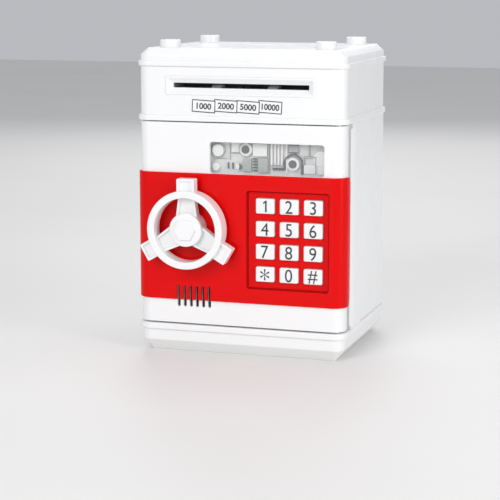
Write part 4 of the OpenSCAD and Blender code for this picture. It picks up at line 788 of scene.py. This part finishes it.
# The dummy machinery behind the window. Places are from the window's lower left corner: a disc is (across, up,
# radius, height), a block is (left, right, foot, top, height), and heights are above the back plate.
relief = {
    "pale": {
        "discs": [(3.7, 13.3, 3.6, 2.8), (2.2, 3.5, 2.5, 2.4), (16.2, 3.9, 2.0, 1.6), (20.9, 14.2, 3.9, 1.9),
                  (50.1, 6.5, 3.9, 2.4), (67.0, 10.0, 4.6, 1.6)],
        "blocks": [(25.2, 34.0, 10.4, 17.8, 1.6), (56.6, 63.6, 0.8, 6.2, 1.2), (65.2, 70.2, 0.6, 6.0, 1.4),
                   (36.2, 37.4, 5.6, 18.2, 1.5), (38.5, 39.5, 5.6, 18.2, 1.5), (40.6, 41.6, 5.6, 18.2, 1.5),
                   (42.7, 43.7, 5.6, 18.2, 1.5), (11.8, 18.4, 12.3, 18.2, 0.9), (45.6, 46.6, 0.4, 18.2, 1.3)]},
    "mid": {
        "discs": [(20.9, 14.2, 4.7, 0.9), (3.7, 13.3, 4.3, 1.0)],
        "blocks": [(18.9, 24.3, 1.0, 8.6, 1.7), (28.6, 34.6, 0.7, 9.4, 1.7), (47.2, 53.4, 13.2, 17.8, 1.5),
                   (36.8, 44.2, 3.8, 5.2, 1.2), (56.2, 57.0, 6.2, 11.2, 1.7), (63.5, 64.3, 6.2, 11.2, 1.7),
                   (56.1, 64.4, 10.4, 11.25, 1.78), (10.6, 11.2, 7.6, 18.2, 0.8),
                   (10.5, 18.4, 11.5, 12.0, 0.74), (59.4, 60.2, 11.2, 18.0, 0.8), (1.0, 9.0, 8.0, 8.5, 0.7),
                   (34.9, 35.5, 0.6, 18.0, 1.7)]},
    "dark": {
        "discs": [(50.1, 6.5, 2.4, 3.1), (20.9, 14.2, 2.4, 2.7)],
        "blocks": [(9.3, 10.1, 2.3, 6.1, 1.0), (12.2, 13.0, 2.3, 6.1, 1.0), (47.2, 53.4, 17.5, 18.0, 1.7),
                   (47.2, 53.4, 13.0, 13.5, 1.7)]
                  + [(25.1, 27.9, 1.6 + 1.75 * i, 2.1 + 1.75 * i, 1.9) for i in range(5)]},
    "arch": (50.1, 6.5, 4.9, 5.9), "archLegs": (-3.5, -6.0), "archHeight": 1.5,
    "teeth": (37.2, 44.3, 2.1, 3.9), "toothCount": 4, "toothHeight": 1.6,
    # the crescent is painted shade over the right side of the pale knob at its place
    "crescent": (16.2, 3.9, 2.0), "crescentSpan": 1.25, "crescentHeights": (1.2, 1.75),
    "root": 0.4, "discSoft": 0.18, "blockSoft": 0.14, "plateThick": 1.3, "margin": 1.8, "frameWall": 1.2}


# A dark arch over the large knob: two half circles, with a leg at each end and the right one longer
def archPart(x, z, low, high):
    across, up, inner, outer = relief["arch"]
    left, right = relief["archLegs"]
    a = np.linspace(pi, 0, 25)
    unit = np.stack([np.cos(a), np.sin(a)], -1)
    outerPath = np.vstack([[(-outer, left)], outer * unit, [(outer, right)]])
    innerPath = np.vstack([[(-inner, left)], inner * unit, [(inner - 0.3, right)]])
    path = np.vstack([outerPath, innerPath[::-1]])[::-1] + np.array([x + across, z + up])
    return solid(np.array([path, path]), [low, high])


# A crescent: an arc of a circle, closed by the same arc with its width scaled to about a third. Dark, it lies
# over the right side of the small pale knob at the same place: painted shade on that side.
def paintedShadeCrescent(x, z, low, high):
    across, up, r = relief["crescent"]
    a = np.linspace(-relief["crescentSpan"], relief["crescentSpan"], 15)
    bow = np.stack([r * np.cos(a), r * np.sin(a)], -1)
    inside = np.stack([r * np.cos(a) * 0.35, r * np.sin(a)], -1)[::-1]
    moon = np.vstack([bow, inside[1:-1]]) + np.array([x + across, z + up])
    return solid(np.array([moon, moon]), [low, high])


def makeRelief():
    x0, x1, z0, z1 = door["window"]
    reliefBack, front = highest("mechanism_relief")[1], -lowest("mechanism_relief")[1]
    plate = relief["plateThick"] - reliefBack
    root = plate - relief["root"]
    groups = {}
    for shade in ("pale", "mid", "dark"):
        discs = [softDisc(x0 + x, z0 + z, r, root, plate + high, relief["discSoft"])
                 for x, z, r, high in relief[shade]["discs"]]
        blocks = [softPlate(x0 + a, x0 + b, z0 + c, z0 + d, root, plate + high, 0.3, relief["blockSoft"])
                  for a, b, c, d, high in relief[shade]["blocks"]]
        groups[shade] = discs + blocks
    groups["dark"].append(archPart(x0, z0, root, plate + relief["archHeight"]))
    # a row of pointed teeth
    left, right, low, high = relief["teeth"]
    pitch = (right - left) / relief["toothCount"]
    for i in range(relief["toothCount"]):
        start = x0 + left + pitch * i
        tooth, _ = roundedOutline([(start, z0 + high), (start + pitch * 0.5, z0 + low),
                                   (start + pitch - 0.1, z0 + high)], 0.1, 3)
        groups["dark"].append(solid(np.array([tooth, tooth]), [root, plate + relief["toothHeight"]]))
    # the dark crescent on the small knob's right side, painted shade
    moonLow, moonHigh = relief["crescentHeights"]
    groups["dark"].append(paintedShadeCrescent(x0, z0, plate + moonLow, plate + moonHigh))
    # back plate with its frame up to the lens
    margin, wall = relief["margin"], relief["frameWall"]
    box = (x1 - x0 + 2 * margin, z1 - z0 + 2 * margin)
    line = softLine([(1, -reliefBack), (0, -reliefBack), (0, front), (wall, front), (wall, plate),
                     (wall + 1.8, plate)], [0.2, 0.2, 0.2, 0.5], 4)
    backing = solid(rectRings(*box, 2.0, line, ((x0 + x1) / 2, (z0 + z1) / 2), 6), line[:, 1])
    addPiece("reliefPlate", [backing], inFront, "door", finishes["relief_grey"],
             ["mechanism_relief"])
    addPiece("reliefKnobs", groups["pale"], inFront, "door", reliefPale)
    addPiece("reliefBlocks", groups["mid"], inFront, "door", reliefMid)
    addPiece("reliefDark", groups["dark"], inFront, "door", reliefDeep)


# Bounce is how far every other card stands up or down; each card lies a step lower than the one on its left
cards = {"values": ["1000", "2000", "5000", "10000"], "width": 14.6, "height": 7.4, "pitch": 13.7,
         "firstX": -22.1, "z": 150.3, "bounce": (-0.1, 0.25), "tilt": -3.0, "line": 0.55, "size": 4.9,
         "lift": 0.03, "step": 0.035, "squeeze": (1.03, 1.03, 1.03, 0.95)}


# The printed cards under the note slot: a blank, a frame as its ruled line, and the value
def makeCards():
    outlines, blanks = [], []
    wide, tall, rule = cards["width"], cards["height"], cards["line"]
    for i, (value, squeeze) in enumerate(zip(cards["values"], cards["squeeze"])):
        at = (cards["firstX"] + cards["pitch"] * i, cards["z"] + cards["bounce"][i % 2])
        height = -frontFace + cards["lift"] + cards["step"] * (len(cards["values"]) - i)
        flat = np.array([(0, -frontFace - 0.1), (0, height)], float)
        blank = solid(rectRings(wide - rule, tall - rule, 0.2, flat, at, 3, 0.1), flat[:, 1])
        blanks.append(turned(blank, cards["tilt"], at))
        frameLine = np.array([(0, height - 0.03), (0, height + 0.02)], float)
        outer = rectRings(wide, tall, 0.25, frameLine, at, 3, 0.1)
        hole = rectRings(wide - 2 * rule, tall - 2 * rule, 0.1, frameLine, at, 3, 0.1)
        ruled = solid(outer, frameLine[:, 1], [(hole, frameLine[:, 1])])
        outlines.append(turned(ruled, cards["tilt"], at))
        digits = legend("card_" + value, value, cards["size"], (at[0] + 0.2, at[1]), height + 0.02, -0.13,
                        cards["tilt"], squeeze, 0.04)
        digits.data.materials.append(tagInk)
        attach(digits, "root")
    addPiece("cardBlanks", blanks, inFront, "root", finishes["white_gloss"])
    addPiece("cardLines", outlines, inFront, "root", tagInk)


makeBase()
makeVault()
makeHead()
makeBezel()
makeLid()
print("casings done")
makeDoor()
makePanel()
makeTray()
makeKeys()
makeWheel()
print("door pieces done")
makeRelief()
makeCards()
print("relief and cards done")


stage = {"floorSize": 6.0, "floorPoints": 9, "floorColour": (0.8, 0.79, 0.77), "skyColour": (0.93, 0.95, 1.0),
         "skyStrength": 0.52}


# A flat floor on an even grid of x and y at height zero, and an even sky
def makeStage():
    half, count = stage["floorSize"] / 2, stage["floorPoints"]
    x, y = np.meshgrid(np.linspace(-half, half, count), np.linspace(-half, half, count), indexing="ij")
    grid = np.stack([x, y, np.zeros_like(x)], -1).reshape(-1, 3)
    i, j = np.meshgrid(np.arange(count - 1), np.arange(count - 1), indexing="ij")
    near, far = i * count + j, (i + 1) * count + j
    mesh = bpy.data.meshes.new("floor")
    mesh.from_pydata(grid.tolist(), [], np.stack([near, far, far + 1, near + 1], -1).reshape(-1, 4).tolist())
    floor = bpy.data.objects.new("floor", mesh)
    bpy.context.scene.collection.objects.link(floor)
    material, nodes, links, shader = startFinish("floorPaper")
    tone = stage["floorColour"]
    links.new(ramp(nodes, links, noise(nodes, links, 3), tone, tuple(c * 1.03 for c in tone)),
              shader.inputs["Base Color"])
    shader.inputs["Roughness"].default_value = 0.55
    mesh.materials.append(material)
    world = bpy.data.worlds.new("studio")
    world.use_nodes = True
    sky = world.node_tree.nodes["Background"]
    sky.inputs["Color"].default_value = (*stage["skyColour"], 1)
    sky.inputs["Strength"].default_value = stage["skyStrength"]
    bpy.context.scene.world = world
    bpy.context.scene.view_settings.view_transform = "Standard"


# name: (place, aim, width, height, watts), all in metres
lamps = {
    "keyLamp": ((-0.25, -1.25, 0.75), (0, 0, 0.09), 0.6, 0.6, 7.4),
    "fillLamp": ((1.1, -0.5, 0.35), (0, 0, 0.09), 0.4, 0.9, 5.8),
    "topLamp": ((0.0, 0.25, 1.2), (0, 0, 0.1), 0.8, 0.8, 3.2),
    "backLamp": ((-0.3, 1.2, 0.7), (0, 0, 0.1), 0.8, 0.6, 3),
    "stripLamp": ((-0.2, -1.5, 0.12), (0, 0, 0.09), 0.12, 0.6, 0.9),
}


# Stands a lamp or camera at its place, looking along -Z at its aim
def aimed(holder, place, aim):
    holder.location = place
    holder.rotation_mode = "QUATERNION"
    holder.rotation_quaternion = (Vector(aim) - Vector(place)).to_track_quat("-Z", "Y")
    bpy.context.scene.collection.objects.link(holder)


def makeLights():
    for name, (place, aim, width, height, watts) in lamps.items():
        data = bpy.data.lights.new(name, "AREA")
        data.shape, data.size, data.size_y, data.energy = "RECTANGLE", width, height, watts
        aimed(bpy.data.objects.new(name, data), place, aim)


# Turn and rise are degrees round and above the front; distance is from the aim
camera = {"turn": 17.606, "rise": 9.651, "distance": 1026.1, "aim": (-9.85, 0.0, 56.11), "lens": 117.45}


def makeCamera():
    data = bpy.data.cameras.new("camera")
    data.sensor_width, data.lens = 36.0, camera["lens"]
    turn, rise = radians(camera["turn"]), radians(camera["rise"])
    aim = Vector(camera["aim"]) * mm
    away = Vector((sin(turn) * cos(rise), -cos(turn) * cos(rise), sin(rise)))
    holder = bpy.data.objects.new("camera", data)
    aimed(holder, aim + away * camera["distance"] * mm, aim)
    bpy.context.scene.camera = holder


makeStage()
makeLights()
makeCamera()
print("stage done")
